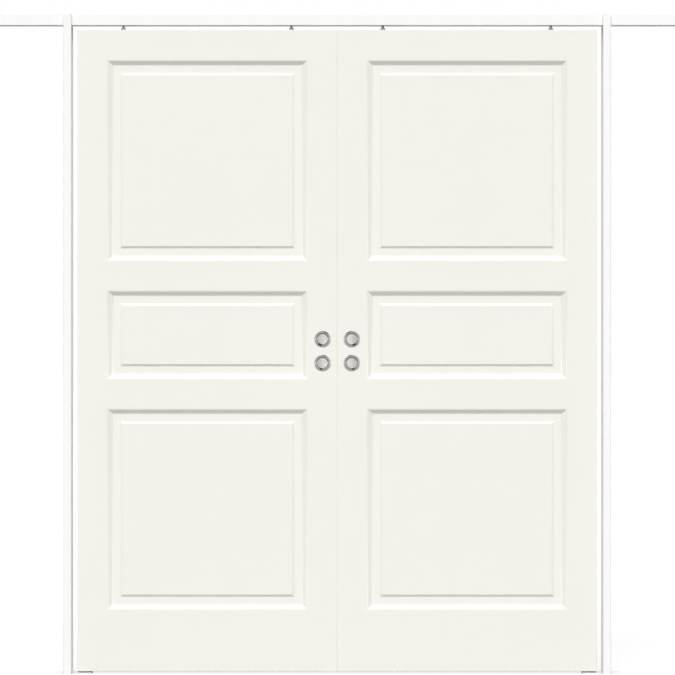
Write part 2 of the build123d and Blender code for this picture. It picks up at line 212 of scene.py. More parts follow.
def quarter_steps(radius: float, count: int, steep_first: bool) -> list[Step]:
    """Small moves round a quarter circle that sinks inwards.

    Args:
        radius: Radius of the round.
        count: Number of moves.
        steep_first: True for the foot of a wall, False for a lip.

    Returns:
        Pairs of inward and sinking moves.
    """
    angles = [math.pi / 2 * number / count for number in range(count + 1)]
    if steep_first:
        return moves([(radius * (1 - math.cos(a)), radius * math.sin(a)) for a in angles])
    return moves([(radius * math.sin(a), radius * (1 - math.cos(a))) for a in angles])


def extended(rings: list[Step], steps: list[Step], inward: int) -> list[Step]:
    """A turned profile with a quarter round added to its end.

    Args:
        rings: Radius and level of each ring so far.
        steps: Moves along the round.
        inward: Minus one where the radius grows.

    Returns:
        The longer profile.
    """
    rings = list(rings)
    for reach, rise in steps:
        radius, level = rings[-1]
        rings.append((radius - inward * reach, level + rise))
    return rings


class Workpiece:
    """One mesh on the bench, shaped with the operators that a modeller uses by hand."""

    def __init__(self, obj: bpy.types.Object, name: str) -> None:
        """Take over an object that an operator has just made.

        Args:
            obj: The new object.
            name: Its name as a piece.
        """
        self.obj = obj
        self.call(name)

    def call(self, name: str) -> None:
        """Name the object and its mesh."""
        self.obj.name = name
        self.obj.data.name = name

    @staticmethod
    def clear() -> None:
        """Leave edit mode and deselect everything."""
        if bpy.context.mode != "OBJECT":
            bpy.ops.object.mode_set(mode="OBJECT")
        bpy.ops.object.select_all(action="DESELECT")

    @classmethod
    def block(cls, name: str, low: Point, high: Point) -> "Workpiece":
        """A block between two corners.

        Args:
            name: Name of the piece.
            low: Lowest corner in metres.
            high: Highest corner in metres.

        Returns:
            The new workpiece.
        """
        cls.clear()
        middle = [(a + b) / 2 for a, b in zip(low, high)]
        bpy.ops.mesh.primitive_cube_add(size=1, location=middle)
        piece = cls(bpy.context.object, name)
        piece.obj.scale = [b - a for a, b in zip(low, high)]
        piece.settle()
        return piece

    @classmethod
    def rod(
        cls, name: str, radius: float, start: Point, length: float, axis: Axis, sides: int
    ) -> "Workpiece":
        """A round bar, or a prism with few sides.

        Args:
            name: Name of the piece.
            radius: Radius over the corners.
            start: Centre of its lower end.
            length: Length along the axis.
            axis: Row axis that it lies along.
            sides: Number of flats.

        Returns:
            The new workpiece.
        """
        cls.clear()
        middle = list(start)
        middle[axis.index] += length / 2
        bpy.ops.mesh.primitive_cylinder_add(
            vertices=sides,
            radius=radius,
            depth=length,
            end_fill_type="NGON",
            location=middle,
            rotation=axis.value,
        )
        piece = cls(bpy.context.object, name)
        piece.settle()
        return piece

    @classmethod
    def turned(cls, name: str, profile: list[Step], sides: int) -> "Workpiece":
        """A closed shape turned about the upright axis: its end is extruded and scaled again and again.

        Args:
            name: Name of the piece.
            profile: Radius and level of each ring, from one end face to the other.
            sides: Faces round it.

        Returns:
            The new workpiece.
        """
        cls.clear()
        (first, low), (radius, level) = profile[:2]
        bpy.ops.mesh.primitive_cone_add(
            vertices=sides,
            radius1=first,
            radius2=radius,
            depth=level - low,
            end_fill_type="NGON",
            location=(0, 0, (low + level) / 2),
        )
        piece = cls(bpy.context.object, name)
        piece.settle()
        piece.pick_faces((0, 0, 1), *slab(Axis.Z, level, level))
        for next_radius, next_level in profile[2:]:
            piece.push((0, 0, next_level - level))
            share = next_radius / radius
            bpy.ops.transform.resize(value=(share, share, 1), center_override=(0, 0, next_level))
            radius, level = next_radius, next_level
        cls.clear()
        return piece

    def settle(self) -> None:
        """Put the object at the origin, unturned and unscaled, with its place in its mesh."""
        self.activate()
        bpy.ops.object.transform_apply(location=True, rotation=True, scale=True)

    def activate(self) -> None:
        """Make this the only selected object."""
        self.clear()
        self.obj.select_set(True)
        bpy.context.view_layer.objects.active = self.obj

    def edit_all(self) -> None:
        """Enter edit mode with everything selected."""
        self.activate()
        bpy.ops.object.mode_set(mode="EDIT")
        bpy.ops.mesh.select_all(action="SELECT")

    def pick(self, kind: str, chosen: Callable[[object], bool]) -> None:
        """Enter edit mode with the chosen elements selected.

        Args:
            kind: One of vertices, edges or polygons.
            chosen: Test of one element.
        """
        self.activate()
        mesh = self.obj.data
        for elements in (mesh.vertices, mesh.edges, mesh.polygons):
            elements.foreach_set("select", [False] * len(elements))
        for element in getattr(mesh, kind):
            element.select = chosen(element)
        modes = ("vertices", "edges", "polygons")
        bpy.context.tool_settings.mesh_select_mode = tuple(kind == mode for mode in modes)
        bpy.ops.object.mode_set(mode="EDIT")

    def pick_faces(self, normal: Point, low: Point = LOWEST, high: Point = HIGHEST) -> None:
        """Select faces by where they look and where their middles lie.

        Args:
            normal: Direction that the faces look in.
            low: Lowest corner of the box that holds their middles.
            high: Highest corner of that box.
        """

        def chosen(face: bpy.types.MeshPolygon) -> bool:
            """Whether the face looks that way and lies in the box."""
            looks = sum(a * b for a, b in zip(face.normal, normal)) > SAME_WAY
            return looks and inside(face.center, low, high)

        self.pick("polygons", chosen)

    def pick_edges(self, chosen: Callable[[list[Point]], bool]) -> None:
        """Select edges by their two ends.

        Args:
            chosen: Test of an edge's two end points.
        """
        points = [tuple(vertex.co) for vertex in self.obj.data.vertices]
        self.pick("edges", lambda edge: chosen([points[i] for i in edge.vertices]))

    def bevel(self, width: float, segments: int) -> None:
        """Round the selected edges and leave edit mode."""
        bpy.ops.mesh.bevel(offset=width, segments=segments, affect="EDGES")
        self.clear()

    def round_along(
        self, axis: Axis, width: float, segments: int, low: Point = LOWEST, high: Point = HIGHEST
    ) -> None:
        """Round the edges that run along an axis.

        Args:
            axis: The axis.
            width: Width of the round.
            segments: Faces across it.
            low: Lowest corner of the box that holds both ends of the edges.
            high: Highest corner of that box.
        """
        across = [other.index for other in Axis if other is not axis]

        def chosen(ends: list[Point]) -> bool:
            """Whether the edge runs that way and lies in the box."""
            along = all(abs(ends[0][index] - ends[1][index]) < NEAR for index in across)
            return along and all(inside(end, low, high) for end in ends)

        self.pick_edges(chosen)
        self.bevel(width, segments)

    def soften(self, width: float, segments: int = 2, angle: float = 40.0) -> None:
        """Round every edge that is sharper than an angle.

        Args:
            width: Width of the round.
            segments: Faces across it.
            angle: Least angle between the faces, in degrees.
        """
        self.activate()
        bpy.ops.object.modifier_add(type="BEVEL")
        modifier = self.obj.modifiers[-1]
        modifier.width = width
        modifier.segments = segments
        modifier.limit_method = "ANGLE"
        modifier.angle_limit = math.radians(angle)
        bpy.ops.object.modifier_apply(modifier=modifier.name)

    def slice(self, place: Point, normal: Point) -> None:
        """Cut the whole mesh along a plane and keep both halves.

        Args:
            place: A point on the plane.
            normal: Normal of the plane.
        """
        self.edit_all()
        bpy.ops.mesh.bisect(plane_co=place, plane_no=normal, use_fill=False)
        self.clear()

    def sink(self, steps: Iterable[Step], outward: float = 1.0) -> None:
        """Inset the selected face again and again, with mitred corners.

        Args:
            steps: Pairs of inward and sinking moves.
            outward: Minus one where sinking means standing out, as at the back of a pressed board.
        """
        for inward, down in steps:
            bpy.ops.mesh.inset(thickness=inward, depth=-outward * down, use_even_offset=True)

    def push(self, move: Point) -> None:
        """Extrude the selected faces along a move."""
        bpy.ops.mesh.extrude_region_move(TRANSFORM_OT_translate={"value": move})

    def combine(self, tool: "Workpiece", operation: str) -> None:
        """Join another workpiece to this one, or cut it away, and drop it.

        Args:
            tool: The other workpiece.
            operation: UNION, DIFFERENCE or INTERSECT.
        """
        self.activate()
        bpy.ops.object.modifier_add(type="BOOLEAN")
        modifier = self.obj.modifiers[-1]
        modifier.operation = operation
        modifier.solver = "EXACT"
        modifier.object = tool.obj
        bpy.ops.object.modifier_apply(modifier=modifier.name)
        tool.drop()

    def cut(self, *tools: "Workpiece") -> None:
        """Cut other workpieces away from this one."""
        for tool in tools:
            self.combine(tool, "DIFFERENCE")

    def weld(self, *tools: "Workpiece") -> None:
        """Join other workpieces to this one."""
        for tool in tools:
            self.combine(tool, "UNION")

    def drill(
        self, radius: float, start: Point, wall: float, axis: Axis, sides: int = HOLE_SIDES
    ) -> None:
        """Cut a round hole through a wall, with a drill that stands a wall's thickness out at both ends.

        Args:
            radius: Its radius.
            start: Centre of its lower end.
            wall: Thickness of the wall.
            axis: Row axis that it runs along.
            sides: Faces round it.
        """
        outside = list(start)
        outside[axis.index] -= wall
        self.cut(Workpiece.rod("drill", radius, outside, 3 * wall, axis, sides))

    def gather(self, others: list["Workpiece"]) -> None:
        """Take other meshes into this object as separate shells.

        Args:
            others: The workpieces to take in.
        """
        self.clear()
        for other in others:
            other.obj.select_set(True)
        self.obj.select_set(True)
        bpy.context.view_layer.objects.active = self.obj
        bpy.ops.object.join()

    def twin(
        self, name: str, move: Point = (0, 0, 0), facing: Facing = Facing.UP, flip: Point = (1, 1, 1)
    ) -> "Workpiece":
        """A copy with its own mesh, turned, moved and then mirrored.

        Args:
            name: Name of the copy.
            move: How far it is moved.
            facing: Where its upper end looks before it is mirrored.
            flip: Minus one for each axis whose sign changes.

        Returns:
            The copy, still to be finished.
        """
        self.activate()
        bpy.ops.object.duplicate()
        copy = Workpiece(bpy.context.object, name)
        turn = Euler(facing.value).to_matrix().to_4x4()
        copy.obj.matrix_world = Matrix.Diagonal((*flip, 1)) @ Matrix.Translation(move) @ turn
        copy.settle()
        return copy

    def drop(self) -> None:
        """Throw the workpiece away, as a pattern that isn't needed any more."""
        mesh = self.obj.data
        bpy.data.objects.remove(self.obj)
        bpy.data.meshes.remove(mesh)

    def finish(self, angle: float = 30.0) -> None:
        """Merge doubles, turn faces outwards and shade smooth between sharp edges.

        Args:
            angle: Edges sharper than this stay sharp, in degrees.
        """
        self.edit_all()
        bpy.ops.mesh.remove_doubles(threshold=NEAR)
        bpy.ops.mesh.normals_make_consistent(inside=False)
        self.activate()
        bpy.ops.object.shade_smooth_by_angle(angle=math.radians(angle))
        bpy.ops.object.modifier_add(type="WEIGHTED_NORMAL")
        modifier = self.obj.modifiers[-1]
        modifier.weight = BY_AREA
        modifier.keep_sharp = True
        bpy.ops.object.modifier_apply(modifier=modifier.name)

    def fit(self, finish: "Finish", node: str) -> None:
        """Dress the finished piece and put it in the place of a CAD node.

        Args:
            finish: Its finish.
            node: CAD node that it stands for, whose body it takes over.
        """
        self.finish()
        self.clear()
        self.obj.data.materials.clear()
        self.obj.data.materials.append(finish.material())
        source = frame["nodes"][node]
        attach(self.obj, source["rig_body"])
        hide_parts(node)
        log.info("%s: %d faces on %s", self.obj.name, len(self.obj.data.polygons), source["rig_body"])

    def fit_both(self, node: str, made: str, finish: "Finish") -> None:
        """Put this right-hand pattern and its mirror image in their places, and drop it.

        Args:
            node: Name of both CAD nodes, without the side.
            made: How the pieces are made, for their names.
            finish: Their finish.
        """
        for side in Side:
            whole = f"{side.word}_{node}"
            self.twin(f"{whole}_{made}", flip=(side.value, 1, 1)).fit(finish, whole)
        self.drop()


class NodeSheet:
    """Short calls for building one node tree."""

    def __init__(self, tree: bpy.types.NodeTree) -> None:
        """Keep the tree to build in."""
        self.tree = tree

    @classmethod
    def blank(cls, owner: bpy.types.Material | bpy.types.World) -> "NodeSheet":
        """The emptied node tree of a new material or world.

        Args:
            owner: The material or world.

        Returns:
            A sheet for its tree.
        """
        owner.use_nodes = True
        owner.node_tree.nodes.clear()
        return cls(owner.node_tree)

    def add(self, kind: str, **settings: object) -> Node:
        """Add a node, set its properties and feed its inputs.

        Args:
            kind: Type name of the node.
            settings: Properties by name, and a dict named inputs that gives inputs a value or a socket.

        Returns:
            The new node.
        """
        node = self.tree.nodes.new(kind)
        inputs = settings.pop("inputs", {})
        for key, value in settings.items():
            setattr(node, key, value)
        for name, value in inputs.items():
            if isinstance(value, Socket):
                self.tree.links.new(value, node.inputs[name])
            else:
                node.inputs[name].default_value = value
        return node

    def count(self, operation: str, first: Socket | float, second: Socket | float) -> Socket:
        """Result of a calculation with two numbers or sockets."""
        node = self.add("ShaderNodeMath", operation=operation, inputs={0: first, 1: second})
        return node.outputs[0]


class SharedEffect:
    """The node groups that several finishes use, each made on first use."""

    cloud_detail: float = 4.0
    cloud_roughness: float = 0.55
    relief_detail: float = 2.0
    relief_roughness: float = 0.5

    @staticmethod
    def start(name: str, inputs: dict[str, str], output: str, kind: str) -> tuple[NodeSheet, Node, Node]:
        """Start a group with its interface.

        Args:
            name: Name of the group.
            inputs: Kind of each input by its name.
            output: Name of the output.
            kind: Kind of the output.

        Returns:
            The sheet, the node that holds the inputs and the node that takes the output.
        """
        tree = bpy.data.node_groups.new(name, "ShaderNodeTree")
        for label, socket in inputs.items():
            tree.interface.new_socket(name=label, in_out="INPUT", socket_type=f"NodeSocket{socket}")
        tree.interface.new_socket(name=output, in_out="OUTPUT", socket_type=f"NodeSocket{kind}")
        sheet = NodeSheet(tree)
        return sheet, sheet.add("NodeGroupInput"), sheet.add("NodeGroupOutput")

    @classmethod
    def tone_drift(cls) -> bpy.types.NodeTree:
        """Slow cloudy change between a colour and a slightly darker one.

        Returns:
            The group, with inputs Vector, Colour, Scale and Amount and the output Colour.
        """
        if "tone_drift" in bpy.data.node_groups:
            return bpy.data.node_groups["tone_drift"]
        kinds = {"Vector": "Vector", "Colour": "Color", "Scale": "Float", "Amount": "Float"}
        sheet, entry, leave = cls.start("tone_drift", kinds, "Colour", "Color")
        given = entry.outputs
        cloud = {"Detail": cls.cloud_detail, "Roughness": cls.cloud_roughness}
        noise = sheet.add(
            "ShaderNodeTexNoise", inputs={"Vector": given["Vector"], "Scale": given["Scale"], **cloud}
        )
        share = sheet.count("MULTIPLY", noise.outputs["Fac"], given["Amount"])
        keep = sheet.count("SUBTRACT", 1.0, share)
        inputs = {0: given["Colour"], "Scale": keep}
        tint = sheet.add("ShaderNodeVectorMath", operation="SCALE", inputs=inputs)
        sheet.tree.links.new(tint.outputs[0], leave.inputs["Colour"])
        return sheet.tree

    @classmethod
    def relief(cls) -> bpy.types.NodeTree:
        """Fine uneven surface height.

        Returns:
            The group, with inputs Vector and Scale and the output Height.
        """
        if "relief" in bpy.data.node_groups:
            return bpy.data.node_groups["relief"]
        kinds = {"Vector": "Vector", "Scale": "Float"}
        sheet, entry, leave = cls.start("relief", kinds, "Height", "Float")
        inputs = {name: entry.outputs[name] for name in kinds}
        grain = {"Detail": cls.relief_detail, "Roughness": cls.relief_roughness}
        noise = sheet.add("ShaderNodeTexNoise", inputs={**inputs, **grain})
        sheet.tree.links.new(noise.outputs["Fac"], leave.inputs["Height"])
        return sheet.tree


@dataclass(frozen=True)
class Finish:
    """A surface finish: a principled shader with drifting tone, uneven gloss and fine relief."""

    name: str
    colour: Colour
    roughness: float
    metallic: float = 0.0
    drift_scale: float = 3.0
    drift: float = 0.02
    gloss_scale: float = 12.0
    gloss_detail: float = 3.0
    gloss_spread: float = 0.05
    relief_scale: float = 600.0
    relief_height: float = 0.00004
    relief_strength: float = 0.2
    stretch: Point = (1.0, 1.0, 1.0)

    def material(self) -> bpy.types.Material:
        """The finish as a material, made on first use.

        Returns:
            The material.
        """
        if self.name in bpy.data.materials:
            return bpy.data.materials[self.name]
        made = bpy.data.materials.new(self.name)
        sheet = NodeSheet.blank(made)
        shader = sheet.add("ShaderNodeBsdfPrincipled", inputs={"Metallic": self.metallic})
        sheet.add("ShaderNodeOutputMaterial", inputs={"Surface": shader.outputs["BSDF"]})
        place = sheet.add("ShaderNodeTexCoord").outputs["Object"]
        feeds = {"Base Color": self.tone, "Roughness": self.gloss, "Normal": self.surface}
        for socket, feed in feeds.items():
            sheet.tree.links.new(feed(sheet, place), shader.inputs[socket])
        return made

    def tone(self, sheet: NodeSheet, place: Socket) -> Socket:
        """The drifting base colour."""
        return self.drifting(sheet, place, self.drift_scale, self.drift)

    def drifting(self, sheet: NodeSheet, place: Socket, scale: float, amount: float) -> Socket:
        """The base colour, darker in places.

        Args:
            sheet: Tree to build in.
            place: What the places are told apart by.
            scale: Scale of the drift.
            amount: How much darker it gets.

        Returns:
            The socket with the colour.
        """
        inputs = {"Vector": place, "Colour": (*self.colour, 1.0), "Scale": scale, "Amount": amount}
        drift = sheet.add("ShaderNodeGroup", node_tree=SharedEffect.tone_drift(), inputs=inputs)
        return drift.outputs["Colour"]

    def gloss(self, sheet: NodeSheet, place: Socket) -> Socket:
        """The uneven roughness.

        Args:
            sheet: Tree to build in.
            place: Place on the object.

        Returns:
            The socket with the roughness.
        """
        inputs = {"Vector": place, "Scale": self.gloss_scale, "Detail": self.gloss_detail}
        noise = sheet.add("ShaderNodeTexNoise", inputs=inputs)
        low, high = self.roughness - self.gloss_spread, self.roughness + self.gloss_spread
        inputs = {"Value": noise.outputs["Fac"], "To Min": low, "To Max": high}
        return sheet.add("ShaderNodeMapRange", inputs=inputs).outputs["Result"]

    def surface(self, sheet: NodeSheet, place: Socket) -> Socket:
        """The normal from the fine relief.

        Args:
            sheet: Tree to build in.
            place: Place on the object.

        Returns:
            The socket with the normal.
        """
        mapping = sheet.add("ShaderNodeMapping", inputs={"Vector": place, "Scale": self.stretch})
        inputs = {"Vector": mapping.outputs["Vector"], "Scale": self.relief_scale}
        relief = sheet.add("ShaderNodeGroup", node_tree=SharedEffect.relief(), inputs=inputs)
        return self.bump(sheet, relief.outputs["Height"])

    def bump(self, sheet: NodeSheet, height: Socket) -> Socket:
        """The normal from a height."""
        inputs = {"Strength": self.relief_strength, "Distance": self.relief_height, "Height": height}
        return sheet.add("ShaderNodeBump", inputs=inputs).outputs["Normal"]


@dataclass(frozen=True)
class TurnedSteel(Finish):
    """Stainless steel turned on a lathe: fine rings round an axis along Y."""

    centre: Point = (0.0, 0.0, 0.0)
    ring_scale: float = 420.0
    ring_wander: float = 1.5
    ring_detail: float = 2.0

    def surface(self, sheet: NodeSheet, place: Socket) -> Socket:
        """The normal from concentric turning marks.

        Args:
            sheet: Tree to build in.
            place: Place on the object.

        Returns:
            The socket with the normal.
        """
        shift = [-value for value in self.centre]
        mapping = sheet.add("ShaderNodeMapping", inputs={"Vector": place, "Location": shift})
        inputs = {"Scale": self.ring_scale, "Distortion": self.ring_wander, "Detail": self.ring_detail}
        inputs["Vector"] = mapping.outputs["Vector"]
        rings = sheet.add("ShaderNodeTexWave", wave_type="RINGS", rings_direction="Y", inputs=inputs)
        return self.bump(sheet, rings.outputs["Fac"])


@dataclass(frozen=True)
class SpangledZinc(Finish):
    """Zinc plating: small crystals of slightly different grey."""

    crystal_scale: float = 160.0
    crystal_drift_scale: float = 1.0
    crystal_spread: float = 0.16

    def tone(self, sheet: NodeSheet, place: Socket) -> Socket:
        """The base colour, different from crystal to crystal."""
        cells = sheet.add("ShaderNodeTexVoronoi", inputs={"Vector": place, "Scale": self.crystal_scale})
        return self.drifting(sheet, cells.outputs["Color"], self.crystal_drift_scale, self.crystal_spread)


@dataclass(frozen=True)
class Honeycomb(Finish):
    """Expanded paper cells seen on edge, with painted shade in the open cells."""

    cell_scale: float = 70.0
    cell_wander: float = 0.25
    wall_share: float = 0.12
    # Painted shade: this dark colour fills each open cell and stands in for the shade inside it.
    hollow_colour: Colour = (0.12, 0.08, 0.05)

    def tone(self, sheet: NodeSheet, place: Socket) -> Socket:
        """The base colour: pale cell walls round painted shade in the hollows.

        Args:
            sheet: Tree to build in.
            place: Place on the object.

        Returns:
            The socket with the colour.
        """
        inputs = {"Vector": place, "Scale": self.cell_scale, "Randomness": self.cell_wander}
        cells = sheet.add("ShaderNodeTexVoronoi", feature="DISTANCE_TO_EDGE", inputs=inputs)
        inputs = {"Value": cells.outputs["Distance"], "From Max": self.wall_share}
        walls = sheet.add("ShaderNodeMapRange", inputs=inputs)
        # Mix the pale paper walls with the painted shade of the hollows.
        inputs = {"A": (*self.colour, 1.0), "B": (*self.hollow_colour, 1.0)}
        inputs["Factor"] = walls.outputs["Result"]
        return sheet.add("ShaderNodeMix", data_type="RGBA", inputs=inputs).outputs["Result"]


LACQUER = Finish("satin_lacquer", linear(244, 241, 235), 0.42, drift=0.012)
PAINTED_TIMBER = Finish(
    "painted_timber", linear(244, 241, 235), 0.45, drift=0.015, relief_scale=90.0, stretch=(1.0, 1.0, 0.08)
)
POWDER_COAT = Finish("powder_coat", linear(250, 250, 249), 0.5, drift=0.01, relief_scale=1400.0)
NYLON = Finish("moulded_nylon", linear(238, 237, 231), 0.38, drift=0.02, relief_scale=250.0)
ZINC = SpangledZinc("zinc_plating", linear(206, 208, 210), 0.34, metallic=0.45, relief_scale=900.0)
RUBBER = Finish(
    "moulded_rubber", linear(34, 34, 35), 0.75, drift=0.2, drift_scale=60.0, relief_scale=1500.0
)
PAPER = Honeycomb("glued_paper", linear(176, 146, 108), 0.9)
PULL_STEEL = TurnedSteel(
    "pull_steel", linear(229, 227, 226), 0.10, metallic=1.0, drift=0.22, drift_scale=70.0
)


@dataclass
class PanelMoulding:
    """Places and profile of the panels pressed into a leaf's skins, in metres."""

    side_margin: float = 0.093
    bottom_margin: float = 0.194
    top_margin: float = 0.0945
    cross_margin: float = 0.0905
    short_height: float = 0.285
    fall_width: float = 0.0215
    fall_angle: float = 35.0
    channel_depth: float = 0.0105
    channel_width: float = 0.020
    rise_width: float = 0.009
    rise_angle: float = 33.0
    field_drop: float = 0.0055
    arc_steps: int = 6

    def spans(self, bottom: float, top: float) -> list[tuple[float, float]]:
        """Lower and upper edge of the three panels.

        Args:
            bottom: Level of the leaf's bottom edge.
            top: Level of its top edge.

        Returns:
            Three pairs of levels, from the bottom up.
        """
        margins = self.bottom_margin + self.top_margin + 2 * self.cross_margin
        tall = (top - bottom - margins - self.short_height) / 2
        levels = []
        level = bottom + self.bottom_margin
        for height in (tall, self.short_height, tall):
            levels.append((level, level + height))
            level += height + self.cross_margin
        return levels

    def steps(self) -> list[Step]:
        """The profile from its outer edge to the raised field.

        Returns:
            Pairs of inward and sinking moves.
        """
        fall = slope_steps(self.fall_width, self.channel_depth, self.fall_angle, self.arc_steps)
        lift = self.field_drop - self.channel_depth
        rise = slope_steps(self.rise_width, lift, self.rise_angle, self.arc_steps)
        return fall + [(self.channel_width, 0.0)] + rise


@dataclass
class LeafSkins:
    """The four pressed and lacquered skins of the leaves."""

    moulding: PanelMoulding = field(default_factory=PanelMoulding)
    board: float = 0.0032
    arris: float = 0.0018
    arris_faces: int = 4
    bore_radius: float = 0.020
    bore_sides: int = 64

    def build(self, side: Side, face: Face) -> Workpiece:
        """Press one skin.

        Args:
            side: Leaf that it belongs to.
            face: Face of the leaf.

        Returns:
            The skin.
        """
        node = f"{side.word}_{face.word}_skin"
        low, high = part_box(node)
        out = face.value
        plane = low[1] if face is Face.FRONT else high[1]
        inner = plane - out * self.board
        skin = Workpiece.block(
            f"{node}_panelled",
            (low[0], min(plane, inner), low[2]),
            (high[0], max(plane, inner), high[2]),
        )
        skin.pick_edges(lambda ends: all(abs(end[1] - plane) < self.board / 2 for end in ends))
        skin.bevel(self.arris, self.arris_faces)
        self.press(skin, low, high, plane, inner, out)
        self.bore(skin, side, plane, inner)
        return skin

    def press(
        self, skin: Workpiece, low: Point, high: Point, plane: float, inner: float, out: int
    ) -> None:
        """Press the three panels into the outer plane, with the board's back following.

        Args:
            skin: The plain board.
            low: Lowest corner of the leaf's skin.
            high: Highest corner of it.
            plane: Y of the outer face.
            inner: Y of the inner face.
            out: Sign of the outward normal.
        """
        panels = self.moulding.spans(low[2], high[2])
        x_span = (low[0] + self.moulding.side_margin, high[0] - self.moulding.side_margin)
        for x in x_span:
            skin.slice((x, plane, 0), (1, 0, 0))
        for z in [level for span in panels for level in span]:
            skin.slice((0, plane, z), (0, 0, 1))
        steps = self.moulding.steps()
        near = self.board / 4
        for bottom, top in panels:
            for y, normal, outward in ((plane, out, 1.0), (inner, -out, -1.0)):
                corners = ((x_span[0], y - near, bottom), (x_span[1], y + near, top))
                skin.pick_faces((0, normal, 0), *corners)
                skin.sink(steps, outward)
                skin.clear()

    def bore(self, skin: Workpiece, side: Side, plane: float, inner: float) -> None:
        """Bore the skin for the two finger pulls.

        Args:
            skin: The pressed skin.
            side: Leaf that it belongs to.
            plane: Y of the outer face.
            inner: Y of the inner face.
        """
        for level in PULL_LEVELS:
            x, _, z = middle_of(f"{side.word}_front_{level}_pull")
            start = (x, min(plane, inner), z)
            skin.drill(self.bore_radius, start, self.board, Axis.Y, self.bore_sides)

    def fit_all(self) -> None:
        """Build and dress all four skins."""
        for side, face in product(Side, Face):
            self.build(side, face).fit(LACQUER, f"{side.word}_{face.word}_skin")


@dataclass
class FingerPulls:
    """The eight round finger pulls: a domed ring round a cup."""

    mouth_radius: float = 0.0190
    ring_width: float = 0.0070
    ring_height: float = 0.0018
    ring_edge: float = 0.0004
    lip_round: float = 0.0004
    depth: float = 0.010
    floor_round: float = 0.0035
    floor_rise: float = 0.0003
    rise_steps: int = 6
    wall: float = 0.0007
    sides: int = 96
    dome_steps: int = 14
    round_steps: int = 10
    lip_steps: int = 4

    def dome(self) -> list[Step]:
        """Moves across the ring, from its outer edge up over the crown to the lip.

        Returns:
            Pairs of inward and sinking moves.
        """
        width = self.ring_width - self.lip_round
        sagitta = self.ring_height - self.ring_edge
        radius = ((width / 2) ** 2 + sagitta**2) / (2 * sagitta)
        half = math.asin(width / 2 / radius)
        angles = [-half + 2 * half * number / self.dome_steps for number in range(self.dome_steps + 1)]
        return moves([(radius * math.sin(a), -radius * math.cos(a)) for a in angles])

    def crown(self) -> list[Step]:
        """Moves over the cup's floor, which rises a little towards its middle.

        Returns:
            Pairs of inward and sinking moves.
        """
        radius = self.mouth_radius - self.floor_round
        shares = [number / self.rise_steps for number in range(self.rise_steps)]
        return moves([(radius * share, self.floor_rise * ((1 - share) ** 2 - 1)) for share in shares])

    def build(self) -> Workpiece:
        """Turn one pull about the Y axis, its ring seated on the plane y = 0 and facing -Y.

        Returns:
            The pull.
        """
        ring_radius = self.mouth_radius + self.ring_width
        seat = self.ring_edge
        pull = Workpiece.rod("finger_pull", ring_radius, (0, -seat, 0), seat, Axis.Y, self.sides)
        pull.pick_faces((0, -1, 0))
        pull.sink(self.dome() + quarter_steps(self.lip_round, self.lip_steps, steep_first=False))
        straight = self.depth + self.ring_edge - self.lip_round - self.floor_round
        pull.push((0, straight, 0))
        pull.sink(quarter_steps(self.floor_round, self.round_steps, steep_first=True) + self.crown())
        pull.pick_faces((0, 1, 0), *slab(Axis.Y, 0, 0))
        outer_round = self.floor_round + self.wall
        pull.sink([(self.ring_width - self.wall, 0.0)])
        pull.push((0, self.depth + self.wall - outer_round, 0))
        steps = quarter_steps(outer_round, self.round_steps, steep_first=True)
        pull.sink(steps, -1.0)
        return pull

    def fit_all(self) -> None:
        """Build one pull, copy it into every bore and dress the copies."""
        pattern = self.build()
        for side, face, level in product(Side, Face, PULL_LEVELS):
            node = f"{side.word}_{face.word}_{level}_pull"
            x, _, z = middle_of(node)
            skin_low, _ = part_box(f"{side.word}_front_skin")
            pull = pattern.twin(f"{node}_turned", (x, skin_low[1], z), flip=(1, -face.value, 1))
            centre = (x, -face.value * skin_low[1], z)
            pull.fit(replace(PULL_STEEL, name=f"{node}_steel", centre=centre), node)
        pattern.drop()


